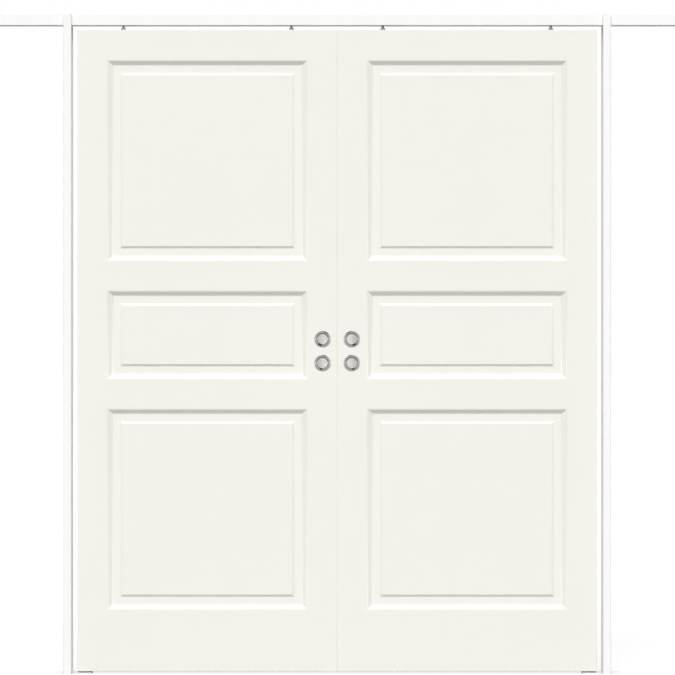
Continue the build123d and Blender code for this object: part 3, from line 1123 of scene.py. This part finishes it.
@dataclass(frozen=True)
class Screw:
    """One kind of screw, with the top of its head at the origin and its shank down the upright axis."""

    head_radius: float
    head_height: float
    shank_radius: float
    length: float
    sunk: bool = True
    point: float = 0.0006
    point_radius: float = 0.0012
    pitch: float = 0.0014
    thread_depth: float = 0.0004
    neck: float = 0.001
    head_edge: float = 0.0002
    sides: int = 24
    recess_reach: float = 0.0022
    recess_half_width: float = 0.0005
    recess_depth: float = 0.0015
    recess_taper: float = 0.55
    head_rings: tuple[Step, ...] = ((1.0, 0.6), (0.95, 0.3), (0.84, 0.1), (0.66, 0.0))

    def drill(self, gap: float) -> Workpiece:
        """The screw's plain outline, a little larger, to cut its hole with.

        Args:
            gap: Clearance all round.

        Returns:
            The cutter.
        """
        head = self.head_radius + gap
        shank = self.shank_radius + gap
        spare = self.neck
        profile = [(shank, -self.length - spare), (shank, -self.head_height), (head, 0.0), (head, spare)]
        return Workpiece.turned("screw_drill", profile, self.sides)

    def profile(self) -> list[Step]:
        """The screw from its point to the top of its head.

        Returns:
            Radius and level of each ring.
        """
        root = self.shank_radius - self.thread_depth
        level = self.point - self.length
        rings = [(self.point_radius, -self.length), (root, level)]
        while level + self.pitch < -self.head_height - self.neck:
            rings += [(self.shank_radius, level + self.pitch / 2), (root, level + self.pitch)]
            level += self.pitch
        rings += [(self.shank_radius, level + self.neck / 2), (self.shank_radius, -self.head_height)]
        if self.sunk:
            edge = self.head_edge
            return rings + [(self.head_radius, -edge), (self.head_radius - edge, 0.0)]
        shares = ((1.0, 1.0), *self.head_rings)
        return rings + [(wide * self.head_radius, -high * self.head_height) for wide, high in shares]

    def recess_arm(self) -> Workpiece:
        """One arm of the cross recess, tapered downwards.

        Returns:
            The arm, to cut with.
        """
        corner = (self.recess_reach, self.recess_half_width, self.recess_depth)
        arm = Workpiece.block("recess", tuple(-value for value in corner), corner)
        arm.pick_faces((0, 0, -1))
        taper = (self.recess_taper, self.recess_taper, 1)
        bpy.ops.transform.resize(value=taper, center_override=(0, 0, -self.recess_depth))
        return arm

    def build(self) -> Workpiece:
        """The screw with its thread, head and cross recess.

        Returns:
            The screw, to be copied.
        """
        screw = Workpiece.turned("screw", self.profile(), self.sides)
        arm = self.recess_arm()
        other = self.recess_arm()
        other.obj.rotation_euler = (0, 0, math.pi / 2)
        other.settle()
        screw.cut(arm, other)
        return screw


STUD_SCREW = Screw(head_radius=0.004, head_height=0.002, shank_radius=0.002, length=0.0225)
SEAT_SCREW = Screw(
    head_radius=0.0038, head_height=0.0022, shank_radius=0.002, length=0.0067, sunk=False, neck=0.0004
)
WOOD_SCREW = Screw(
    head_radius=0.004,
    head_height=0.002,
    shank_radius=0.002,
    length=0.035,
    point=0.005,
    point_radius=0.0002,
    pitch=0.0022,
    thread_depth=0.0005,
    neck=0.010,
)


def fit_gathered(node: str, made: str, pieces: list[Workpiece], finish: Finish) -> None:
    """Join the separate like pieces of one node and put them in its place.

    Args:
        node: The CAD node.
        made: How the pieces are made, for the object's name.
        pieces: The pieces.
        finish: Their finish.
    """
    first, *others = pieces
    first.gather(others)
    first.call(f"{node}_{made}")
    first.fit(finish, node)


@dataclass
class SteelFrame:
    """The fixed steel frame: the track, the studs and the end posts."""

    wall: float = 0.002
    bend: float = 0.003
    inner_bend: float = 0.001
    bend_faces: int = 4
    foot_thickness: float = 0.0025
    stud_width: float = 0.025
    floor_hole: float = 0.003
    floor_hole_inset: float = 0.015
    screw_gap: float = 0.00005
    post_flange: float = 0.030
    post_floor_hole_reach: float = 0.025
    wall_hole: float = 0.003
    wall_hole_levels: tuple[float, ...] = (0.25, 0.75, 1.25, 1.75)
    seat_length: float = 0.028
    seat_half_width: float = 0.030
    seat_screw_inset: float = 0.012
    track_wall: float = 0.0025
    track_arris: float = 0.0008
    slot_half: float = 0.007
    header_hole: float = 0.003
    header_hole_places: tuple[float, ...] = (-0.6, -0.2, 0.2, 0.6)

    def screw_x(self, place: str) -> float:
        """X of the screw of a right-hand stud."""
        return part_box(f"right_front_{place}_stud")[0][0] + self.stud_width / 2

    def seat_screws(self) -> list[Step]:
        """The two screws of the right-hand seat.

        Returns:
            X and y of each screw.
        """
        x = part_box("track")[1][0] - self.seat_screw_inset
        y = (self.slot_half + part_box("track")[1][1]) / 2
        return [(x, -y), (x, y)]

    def stud(self) -> Workpiece:
        """The right front mouth stud: a folded tube on its foot plate.

        Returns:
            The stud, to be copied.
        """
        low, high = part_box("right_front_mouth_stud")
        tube_end = low[0] + self.stud_width
        start = (low[0], low[1], self.foot_thickness / 2)
        stud = Workpiece.block("stud", start, (tube_end, high[1], high[2]))
        stud.round_along(Axis.Z, self.bend, self.bend_faces)
        stud.pick_faces((0, 0, 1))
        stud.sink([(self.wall, 0.0)])
        stud.push((0, 0, self.foot_thickness - high[2]))
        foot = Workpiece.block("foot", low, (high[0], high[1], self.foot_thickness))
        foot.round_along(Axis.Z, self.bend, self.bend_faces, *slab(Axis.X, high[0], high[0]))
        stud.weld(foot)
        hole = (high[0] - self.floor_hole_inset, (low[1] + high[1]) / 2, 0)
        stud.drill(self.floor_hole, hole, self.foot_thickness, Axis.Z)
        drill = STUD_SCREW.drill(self.screw_gap)
        place = (self.screw_x("mouth"), low[1], middle_of("track")[2])
        stud.cut(drill.twin("stud_drill", place, Facing.FRONT))
        drill.drop()
        return stud

    def fit_studs(self) -> None:
        """Copy the stud to its eight places."""
        pattern = self.stud()
        for place, side, face in product(STUD_PLACES, Side, Face):
            shift = self.screw_x(place) - self.screw_x("mouth")
            node = f"{side.word}_{face.word}_{place}_stud"
            stud = pattern.twin(f"{node}_folded", (shift, 0, 0), flip=(side.value, -face.value, 1))
            stud.fit(POWDER_COAT, node)
        pattern.drop()

    def end_post(self) -> Workpiece:
        """The right-hand end post: a folded channel with its foot and the seat for the track.

        Returns:
            The post, to be mirrored.
        """
        low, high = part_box("right_end_post")
        back = high[0] - self.wall
        front = high[0] - self.post_flange
        edge = high[1] - self.wall
        post = Workpiece.block("post", (front, low[1], self.foot_thickness / 2), high)
        post.round_along(Axis.Z, self.bend, self.bend_faces, *slab(Axis.X, high[0], high[0]))
        start = (front - self.wall, -edge, -self.wall)
        hollow = Workpiece.block("hollow", start, (back, edge, high[2] + self.wall))
        hollow.round_along(Axis.Z, self.inner_bend, self.bend_faces, *slab(Axis.X, back, back))
        post.cut(hollow)
        foot = Workpiece.block("foot", low, (high[0], high[1], self.foot_thickness))
        foot.round_along(Axis.Z, self.bend, self.bend_faces, *slab(Axis.X, low[0], low[0]))
        half = self.seat_half_width
        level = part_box("track")[0][2]
        end = back - self.seat_length
        corner = (back + self.wall / 2, half, level)
        seat = Workpiece.block("seat", (end, -half, level - self.wall), corner)
        seat.round_along(Axis.Z, self.bend, self.bend_faces, *slab(Axis.X, end, end))
        post.weld(foot, seat)
        for y in (-self.post_floor_hole_reach, self.post_floor_hole_reach):
            hole = (low[0] + self.floor_hole_inset, y, 0)
            post.drill(self.floor_hole, hole, self.foot_thickness, Axis.Z)
        for hole_level in self.wall_hole_levels:
            post.drill(self.wall_hole, (back, 0, hole_level), self.wall, Axis.X)
        radius = SEAT_SCREW.shank_radius + self.screw_gap
        for x, y in self.seat_screws():
            post.drill(radius, (x, y, level - self.wall), self.wall, Axis.Z)
        return post

    def fit_end_posts(self) -> None:
        """Put a post at both ends."""
        self.end_post().fit_both("end_post", "folded", POWDER_COAT)

    def track(self) -> Workpiece:
        """The slotted track with its holes.

        Returns:
            The track.
        """
        low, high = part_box("track")
        track = Workpiece.block("track_extruded", low, high)
        track.round_along(Axis.X, self.track_arris, self.bend_faces)
        wall = self.track_wall
        start, end = low[0] - wall, high[0] + wall
        cavity = Workpiece.block(
            "cavity", (start, low[1] + wall, low[2] + wall), (end, high[1] - wall, high[2] - wall)
        )
        cavity.round_along(Axis.X, self.track_arris, self.bend_faces)
        half = self.slot_half
        slot = Workpiece.block("slot", (start, -half, low[2] - wall), (end, half, low[2] + 2 * wall))
        track.cut(cavity, slot)
        for x in self.header_hole_places:
            track.drill(self.header_hole, (x, 0, high[2] - wall), wall, Axis.Z)
        radius = STUD_SCREW.shank_radius + self.screw_gap
        for place, side in product(STUD_PLACES, Side):
            hole = (side.value * self.screw_x(place), low[1], middle_of("track")[2])
            track.drill(radius, hole, high[1] - low[1], Axis.Y)
        radius = SEAT_SCREW.shank_radius + self.screw_gap
        for (x, y), side in product(self.seat_screws(), Side):
            track.drill(radius, (side.value * x, y, low[2]), wall, Axis.Z)
        return track

    def fit_all(self) -> None:
        """Build and dress the frame's posts, studs and track."""
        self.fit_studs()
        self.fit_end_posts()
        self.track().fit(POWDER_COAT, "track")


@dataclass
class FrameFittings:
    """What the frame carries: stops with buffers, floor guides and the frame's screws."""

    steel: SteelFrame = field(default_factory=SteelFrame)
    stop_length: float = 0.024
    stop_arris: float = 0.0012
    buffer_length: float = 0.005
    buffer_radius: float = 0.006
    buffer_gap: float = 0.0003
    buffer_round: float = 0.0015
    round_faces: int = 5
    buffer_sides: int = 40
    guide_thickness: float = 0.004
    guide_corner: float = 0.004
    fin_half: float = 0.003
    fin_length: float = 0.046
    fin_round: float = 0.0012
    guide_hole: float = 0.0025
    guide_hole_inset: float = 0.012
    guide_hole_reach: float = 0.015

    def stop_places(self) -> list[tuple[float, Facing]]:
        """Where each right-hand stop meets its buffer.

        Returns:
            X of each place and where the buffer faces there.
        """
        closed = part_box("right_inner_trolley")[0][0] - self.buffer_gap - self.buffer_length
        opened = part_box("track_stops")[1][0] - self.stop_length
        return [(closed, Facing.RIGHT), (opened, Facing.LEFT)]

    def stop(self) -> Workpiece:
        """One stop block, below its seat for the buffer.

        Returns:
            The block, to be copied.
        """
        low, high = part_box("track_stops")
        half = (high[2] - low[2]) / 2
        stop = Workpiece.block("stop", (-half, low[1], -self.stop_length), (half, high[1], 0))
        stop.soften(self.stop_arris, self.round_faces)
        return stop

    def buffer(self) -> Workpiece:
        """One rubber buffer with a rounded front.

        Returns:
            The buffer, to be copied.
        """
        radius = self.buffer_radius
        rings = [(radius, 0.0), (radius, self.buffer_length - self.buffer_round)]
        steps = quarter_steps(self.buffer_round, self.round_faces, steep_first=True)
        return Workpiece.turned("buffer", extended(rings, steps, 1), self.buffer_sides)

    def fit_stops(self) -> None:
        """Put the four stops and their buffers in the track."""
        for pattern, node, finish in (
            (self.stop(), "track_stops", ZINC),
            (self.buffer(), "stop_buffers", RUBBER),
        ):
            level = middle_of(node)[2]
            copies = [
                pattern.twin("copy", (x, 0, level), facing, (side.value, 1, 1))
                for (x, facing), side in product(self.stop_places(), Side)
            ]
            fit_gathered(node, "rounded", copies, finish)
            pattern.drop()

    def fit_screws(self) -> None:
        """Drive the screws of the studs and of the seats."""
        pattern = STUD_SCREW.build()
        copies = []
        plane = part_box("right_front_mouth_stud")[0][1]
        for place, side, face in product(STUD_PLACES, Side, Face):
            start = (self.steel.screw_x(place), plane, middle_of("track")[2])
            copies.append(pattern.twin("copy", start, Facing.FRONT, (side.value, -face.value, 1)))
        fit_gathered("stud_screws", "threaded", copies, POWDER_COAT)
        pattern.drop()
        pattern = SEAT_SCREW.build()
        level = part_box("seat_screws")[0][2]
        copies = [
            pattern.twin("copy", (x, y, level), Facing.DOWN, (side.value, 1, 1))
            for (x, y), side in product(self.steel.seat_screws(), Side)
        ]
        fit_gathered("seat_screws", "threaded", copies, ZINC)
        pattern.drop()

    def guide(self) -> Workpiece:
        """The right-hand floor guide: a base plate with an upright fin.

        Returns:
            The guide, to be mirrored.
        """
        low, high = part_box("right_floor_guide")
        fin_end = low[0] + self.fin_length
        guide = Workpiece.block("guide", low, (high[0], high[1], self.guide_thickness))
        for y in (-self.fin_half, self.fin_half):
            guide.slice((0, y, 0), (0, 1, 0))
        guide.slice((fin_end, 0, 0), (1, 0, 0))
        guide.pick_faces((0, 0, 1), (low[0], -self.fin_half, low[2]), (fin_end, self.fin_half, high[2]))
        guide.push((0, 0, high[2] - self.guide_thickness))
        guide.clear()
        guide.pick_edges(lambda ends: all(abs(end[2] - high[2]) < NEAR for end in ends))
        guide.bevel(self.fin_round, self.round_faces)
        for x, y in product((low[0], high[0]), (low[1], high[1])):
            corner = ((x - NEAR, y - NEAR, low[2] - NEAR), (x + NEAR, y + NEAR, high[2]))
            guide.round_along(Axis.Z, self.guide_corner, self.round_faces, *corner)
        for y in (-self.guide_hole_reach, self.guide_hole_reach):
            start = (high[0] - self.guide_hole_inset, y, 0)
            guide.drill(self.guide_hole, start, self.guide_thickness, Axis.Z)
        return guide

    def fit_guides(self) -> None:
        """Put a guide at both pocket mouths."""
        self.guide().fit_both("floor_guide", "moulded", NYLON)

    def fit_all(self) -> None:
        """Build and dress all fittings."""
        self.fit_stops()
        self.fit_screws()
        self.fit_guides()


@dataclass
class HangingGear:
    """What a leaf hangs from: plates, wood screws, bolts with nuts, trolleys and wheels."""

    plate_corner: float = 0.002
    round_faces: int = 4
    bolt_radius: float = 0.004
    plate_hole: float = 0.00425
    fit_gap: float = 0.00005
    screw_reach: float = 0.033
    screw_side: float = 0.007
    across_flats: float = 0.013
    head_height: float = 0.0053
    nut_height: float = 0.0065
    hexagon_chamfer: float = 0.0007
    chamfer_reach: float = 2.0
    chamfer_spare: float = 0.5
    chamfer_rise: float = 1.25
    thread_pitch: float = 0.00125
    thread_depth: float = 0.0006
    bolt_sides: int = 32
    body_half_width: float = 0.0065
    body_corner: float = 0.003
    body_arris: float = 0.0005
    axle_spacing: float = 0.044
    axle_radius: float = 0.0025
    boss_radius: float = 0.004
    boss_reach: float = 0.0077
    rivet_length: float = 0.0012
    rivet_rings: tuple[Step, ...] = ((1.0, 0.0), (1.0, 0.35), (0.85, 0.75), (0.6, 1.0))
    wheel_radius: float = 0.011
    wheel_width: float = 0.007
    wheel_middle: float = 0.0115
    wheel_round: float = 0.001
    rim_radius: float = 0.009
    hub_radius: float = 0.005
    web_recess: float = 0.001
    wheel_sides: int = 64

    def screw_places(self) -> list[Step]:
        """The four wood screws of a plate, from its middle."""
        return list(product((-self.screw_reach, self.screw_reach), (-self.screw_side, self.screw_side)))

    def plate(self) -> Workpiece:
        """One hanger plate with its middle at the origin and its top at level zero.

        Returns:
            The plate, to be copied.
        """
        low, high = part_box("right_inner_hanger_plate")
        half = [(b - a) / 2 for a, b in zip(low, high)]
        depth = 2 * half[2]
        plate = Workpiece.block("plate", (-half[0], -half[1], -depth), (half[0], half[1], 0))
        plate.round_along(Axis.Z, self.plate_corner, self.round_faces)
        plate.drill(self.plate_hole, (0, 0, -depth), depth, Axis.Z)
        drill = WOOD_SCREW.drill(self.fit_gap)
        for x, y in self.screw_places():
            plate.cut(drill.twin("plate_drill", (x, y, 0)))
        drill.drop()
        return plate

    def hexagon(self, bottom: float, height: float, chamfers: tuple[float, float]) -> Workpiece:
        """A hexagon round the upright axis with chamfered corners.

        Args:
            bottom: Its lowest level.
            height: Its height.
            chamfers: Chamfers at the bottom and at the top.

        Returns:
            The hexagon.
        """
        corner = self.across_flats / math.sqrt(3)
        under, over = chamfers
        top = bottom + height
        rings = [
            (corner - self.chamfer_reach * under, bottom),
            (corner + self.chamfer_spare * under, bottom + self.chamfer_rise * under + NEAR),
            (corner + self.chamfer_spare * over, top - self.chamfer_rise * over - NEAR),
            (corner - self.chamfer_reach * over, top),
        ]
        blank = Workpiece.turned("hexagon", rings, self.wheel_sides)
        prism = Workpiece.rod("prism", corner, (0, 0, bottom - height), 3 * height, Axis.Z, 6)
        prism.obj.rotation_euler = (0, 0, math.pi / 6)
        prism.settle()
        blank.combine(prism, "INTERSECT")
        return blank

    def bolt(self) -> list[Workpiece]:
        """The threaded hanging bolt and its lock nut, on the upright axis at their levels.

        Returns:
            Bolt and nut, to be copied.
        """
        plate_low, plate_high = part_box("right_inner_hanger_plate")
        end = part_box("right_inner_trolley")[1][2]
        root = self.bolt_radius - self.thread_depth
        level = plate_low[2]
        rings = [(self.bolt_radius, level - self.head_height / 2), (self.bolt_radius, level)]
        while level + self.thread_pitch < end:
            rings.append((root, level + self.thread_pitch / 2))
            level += self.thread_pitch
            rings.append((self.bolt_radius, level))
        rings.append((root, end))
        bolt = Workpiece.turned("bolt", rings, self.bolt_sides)
        chamfer = self.hexagon_chamfer
        bolt.weld(self.hexagon(plate_low[2] - self.head_height, self.head_height, (chamfer, 0.0)))
        nut = self.hexagon(plate_high[2], self.nut_height, (chamfer, chamfer))
        bore = self.bolt_radius + self.fit_gap
        nut.drill(bore, (0, 0, plate_high[2]), self.nut_height, Axis.Z, self.bolt_sides)
        return [bolt, nut]

    def axle(self, reach: float) -> Workpiece:
        """One riveted axle with its boss, upright about the origin.

        Args:
            reach: How far the rivets' ends stand from the middle.

        Returns:
            The axle, to be copied.
        """
        neck = reach - self.rivet_length
        boss, thin = self.boss_radius, self.axle_radius
        upper = [(boss, self.boss_reach), (thin, self.boss_reach), (thin, neck)]
        upper += [(wide * boss, neck + high * self.rivet_length) for wide, high in self.rivet_rings]
        lower = [(radius, -level) for radius, level in reversed(upper)]
        return Workpiece.turned("axle", lower + upper, self.bolt_sides)

    def trolley(self) -> Workpiece:
        """One trolley with its riveted axles, its middle at the origin.

        Returns:
            The trolley, to be copied.
        """
        low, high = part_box("right_inner_trolley")
        half = [(b - a) / 2 for a, b in zip(low, high)]
        side = self.body_half_width
        trolley = Workpiece.block("trolley", (-half[0], -side, -half[2]), (half[0], side, half[2]))
        trolley.round_along(Axis.Z, self.body_corner, self.round_faces)
        trolley.soften(self.body_arris)
        axle = self.axle(half[1])
        for x in (-self.axle_spacing / 2, self.axle_spacing / 2):
            trolley.weld(axle.twin("trolley_axle", (x, 0, 0), Facing.REAR))
        axle.drop()
        bore = self.bolt_radius + self.fit_gap
        trolley.drill(bore, (0, 0, -half[2]), 2 * half[2], Axis.Z)
        return trolley

    def wheel(self) -> Workpiece:
        """One wheel, upright about the origin with its outer side up.

        Returns:
            The wheel, to be copied.
        """
        half = self.wheel_width / 2
        rounding = (self.wheel_round, self.round_faces)
        rings = [(self.wheel_radius - self.wheel_round, -half)]
        rings = extended(rings, quarter_steps(*rounding, steep_first=False), -1)
        rings.append((self.wheel_radius, half - self.wheel_round))
        rings = extended(rings, quarter_steps(*rounding, steep_first=True), 1)
        rim, hub, floor = self.rim_radius, self.hub_radius, half - self.web_recess
        rings += [(rim, half), (rim, floor), (hub, floor), (hub, half)]
        wheel = Workpiece.turned("wheel", rings, self.wheel_sides)
        bore = self.axle_radius + self.fit_gap
        wheel.drill(bore, (0, 0, -half), self.wheel_width, Axis.Z)
        return wheel

    def fit_wheels(self) -> None:
        """Put two wheels on every axle."""
        pattern = self.wheel()
        for node in frame["nodes"]:
            if "_wheels_" in node:
                x, _, z = middle_of(node)
                pair = [
                    pattern.twin("copy", (x, face.value * self.wheel_middle, z), Facing[face.name])
                    for face in Face
                ]
                fit_gathered(node, "moulded", pair, NYLON)
        pattern.drop()

    def fit_side(self, side: Side, plate: Workpiece, bolt: list[Workpiece], trolley: Workpiece) -> None:
        """Hang one leaf: two plates, trolleys and bolts.

        Args:
            side: The leaf.
            plate: Pattern of the plates.
            bolt: Patterns of bolt and nut.
            trolley: Pattern of the trolleys.
        """
        bolts = []
        for place in GEAR_PLACES:
            node = f"{side.word}_{place}_hanger_plate"
            x = middle_of(node)[0]
            plate.twin(f"{node}_drilled", (x, 0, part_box(node)[1][2])).fit(ZINC, node)
            node = f"{side.word}_{place}_trolley"
            trolley.twin(f"{node}_riveted", middle_of(node)).fit(ZINC, node)
            bolts += [pattern.twin("copy", (x, 0, 0)) for pattern in bolt]
        fit_gathered(f"{side.word}_hanger_bolts", "threaded", bolts, ZINC)

    def fit_screws(self) -> None:
        """Drive the wood screws of all four plates."""
        pattern = WOOD_SCREW.build()
        for side in Side:
            copies = []
            for place in GEAR_PLACES:
                plate = f"{side.word}_{place}_hanger_plate"
                middle = middle_of(plate)[0]
                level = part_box(plate)[1][2]
                copies += [pattern.twin("copy", (middle + x, y, level)) for x, y in self.screw_places()]
            fit_gathered(f"{side.word}_plate_screws", "threaded", copies, ZINC)
        pattern.drop()

    def fit_all(self) -> None:
        """Build one of each piece and copy it to its places."""
        plate, bolt, trolley = self.plate(), self.bolt(), self.trolley()
        for side in Side:
            self.fit_side(side, plate, bolt, trolley)
        for pattern in (plate, *bolt, trolley):
            pattern.drop()
        self.fit_screws()
        self.fit_wheels()


@dataclass
class CarriedOver:
    """CAD nodes whose shape is right: they stay and get a finish."""

    finishes: dict[str, Finish] = field(
        default_factory=lambda: {"stile": PAINTED_TIMBER, "rail": PAINTED_TIMBER, "core": PAPER}
    )

    def dress(self) -> None:
        """Give every shown CAD node its finish."""
        for node, obj in frame["nodes"].items():
            if obj.hide_render:
                continue
            matches = [finish for word, finish in self.finishes.items() if word in node]
            for slot in obj.material_slots:
                slot.material = matches[0].material()
            log.info("%s keeps its CAD shape", node)


@dataclass
class Studio:
    """Floor, light, camera and the cards that only reflections show."""

    picture_width: float = 2.1462
    camera_x: float = 0.001
    camera_level: float = 1.0694
    face_plane: float = -0.020
    lens: float = 200.0
    sensor: float = 36.0
    sight: float = 1200.0
    key_elevation: float = 43.0
    key_azimuth: float = 3.0
    key_strength: float = 2.6
    key_angle: float = 40.0
    ambient: float = 0.49
    wide_gloss: float = 0.50
    gloss_sides: float = 0.93
    gloss_ahead: float = 0.99
    flag_low: Point = (-0.037, -0.50, 1.150)
    flag_high: Point = (0.037, -0.030, 1.151)
    flag_tone: float = 0.004
    card_inner: float = 0.056
    card_outer: float = 0.200
    card_bottom: float = 0.90
    card_top: float = 1.14
    card_plane: float = -0.42
    card_thickness: float = 0.001
    card_tone: float = 0.74
    floor_size: float = 120.0
    floor_tone: float = 0.3
    floor_glow: float = 0.75
    near_glow: float = 0.0
    near_reach: float = 16.0

    def camera(self) -> None:
        """Long lens, level, straight in front of the meeting edge."""
        Workpiece.clear()
        distance = self.lens * self.picture_width / self.sensor
        place = (self.camera_x, self.face_plane - distance, self.camera_level)
        bpy.ops.object.camera_add(location=place, rotation=(math.pi / 2, 0, 0))
        camera = bpy.context.object
        camera.data.lens = self.lens
        camera.data.sensor_width = self.sensor
        camera.data.clip_end = self.sight
        bpy.context.scene.camera = camera

    def key(self) -> None:
        """Broad key light from above the camera."""
        Workpiece.clear()
        tilt = math.radians(90 - self.key_elevation)
        bpy.ops.object.light_add(type="SUN", rotation=(tilt, 0, -math.radians(self.key_azimuth)))
        lamp = bpy.context.object
        lamp.visible_glossy = False
        lamp.data.energy = self.key_strength
        lamp.data.angle = math.radians(self.key_angle)

    @staticmethod
    def seen_directly(sheet: NodeSheet) -> Socket:
        """What tells the rays that look at the stage from those that only light the object.

        Args:
            sheet: Tree to build in.

        Returns:
            The socket that is one for camera, glossy and transmission rays and zero for the others.
        """
        path = sheet.add("ShaderNodeLightPath").outputs
        first = sheet.count("MAXIMUM", path["Is Camera Ray"], path["Is Glossy Ray"])
        return sheet.count("MAXIMUM", first, path["Is Transmission Ray"])

    @staticmethod
    def fading(sheet: NodeSheet, measure: Socket, plain: float, **span: float) -> Socket:
        """A brightness that is even to the camera and fades in reflections.

        Args:
            sheet: Tree to build in.
            measure: What the fading follows.
            plain: The brightness outside reflections.
            span: From_Min, From_Max, To_Min and To_Max of the fading.

        Returns:
            The socket with the brightness.
        """
        ends = {name.replace("_", " "): value for name, value in span.items()}
        inputs = {"Value": measure, **ends}
        fade = sheet.add("ShaderNodeMapRange", interpolation_type="SMOOTHSTEP", inputs=inputs)
        glossy = sheet.add("ShaderNodeLightPath").outputs["Is Glossy Ray"]
        inputs = {"Factor": glossy, "A": plain, "B": fade.outputs["Result"]}
        return sheet.add("ShaderNodeMix", data_type="FLOAT", inputs=inputs).outputs["Result"]

    def world(self) -> None:
        """White surroundings that light the object softly and darken to the sides in polished metal."""
        world = bpy.data.worlds.new("studio")
        sheet = NodeSheet.blank(world)
        split = sheet.add(
            "ShaderNodeSeparateXYZ", inputs={0: sheet.add("ShaderNodeTexCoord").outputs["Generated"]}
        )
        ahead = sheet.add("ShaderNodeMath", operation="ABSOLUTE", inputs={0: split.outputs["Y"]})
        ends = {"From_Min": self.gloss_sides, "From_Max": self.gloss_ahead}
        level = self.fading(sheet, ahead.outputs[0], 1.0, To_Min=self.wide_gloss, To_Max=1.0, **ends)
        white = (1.0, 1.0, 1.0, 1.0)
        fill = sheet.add("ShaderNodeBackground", inputs={"Strength": self.ambient, "Color": white})
        walls = sheet.add("ShaderNodeBackground", inputs={"Strength": level, "Color": white})
        inputs = {"Fac": self.seen_directly(sheet), 1: fill.outputs[0], 2: walls.outputs[0]}
        mix = sheet.add("ShaderNodeMixShader", inputs=inputs)
        sheet.add("ShaderNodeOutputWorld", inputs={"Surface": mix.outputs[0]})
        bpy.context.scene.world = world

    def floor(self) -> None:
        """Pale floor that looks white, keeps the shadow and fades close by in polished metal."""
        Workpiece.clear()
        bpy.ops.mesh.primitive_plane_add(size=self.floor_size, location=(0, 0, 0))
        floor = bpy.context.object
        floor.name = "studio_floor"
        made = bpy.data.materials.new("studio_floor")
        sheet = NodeSheet.blank(made)
        place = sheet.add("ShaderNodeTexCoord").outputs["Object"]
        away = sheet.add("ShaderNodeVectorMath", operation="LENGTH", inputs={0: place})
        ends = {"To_Min": self.near_glow, "To_Max": self.floor_glow, "From_Max": self.near_reach}
        level = self.fading(sheet, away.outputs["Value"], self.floor_glow, **ends)
        strength = sheet.count("MULTIPLY", self.seen_directly(sheet), level)
        glow = sheet.add("ShaderNodeEmission", inputs={"Strength": strength})
        tone = (self.floor_tone, self.floor_tone, self.floor_tone, 1.0)
        diffuse = sheet.add("ShaderNodeBsdfDiffuse", inputs={"Color": tone})
        both = sheet.add("ShaderNodeAddShader", inputs={0: diffuse.outputs[0], 1: glow.outputs[0]})
        sheet.add("ShaderNodeOutputMaterial", inputs={"Surface": both.outputs[0]})
        floor.data.materials.append(made)

    @staticmethod
    def card(name: str, low: Point, high: Point, glow: float) -> None:
        """Card in front of the finger pulls that only reflections show.

        Args:
            name: Name of the card.
            low: Its lowest corner.
            high: Its highest corner.
            glow: Brightness of its reflection, from black to white.
        """
        card = Workpiece.block(name, low, high).obj
        made = bpy.data.materials.new(name)
        sheet = NodeSheet.blank(made)
        shine = sheet.add("ShaderNodeEmission", inputs={"Strength": glow})
        sheet.add("ShaderNodeOutputMaterial", inputs={"Surface": shine.outputs[0]})
        card.data.materials.append(made)
        for ray in ("camera", "diffuse", "transmission", "volume_scatter", "shadow"):
            setattr(card, f"visible_{ray}", False)

    def cards(self) -> None:
        """Black flag over the pulls and a grey card to each side of them."""
        self.card("studio_flag", self.flag_low, self.flag_high, self.flag_tone)
        for side in Side:
            edges = sorted(side.value * edge for edge in (self.card_inner, self.card_outer))
            low = (edges[0], self.card_plane, self.card_bottom)
            high = (edges[1], self.card_plane + self.card_thickness, self.card_top)
            self.card(f"studio_{side.word}_card", low, high, self.card_tone)

    def set_up(self) -> None:
        """Set up the whole studio."""
        self.camera()
        self.key()
        self.cards()
        self.world()
        self.floor()
        bpy.context.scene.view_settings.view_transform = "Standard"


def main() -> None:
    """Build, dress and light the door."""
    logging.basicConfig(level=logging.INFO, format="%(message)s")
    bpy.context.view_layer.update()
    LeafSkins().fit_all()
    FingerPulls().fit_all()
    SteelFrame().fit_all()
    FrameFittings().fit_all()
    HangingGear().fit_all()
    CarriedOver().dress()
    Studio().set_up()


if __name__ == "__main__":
    main()
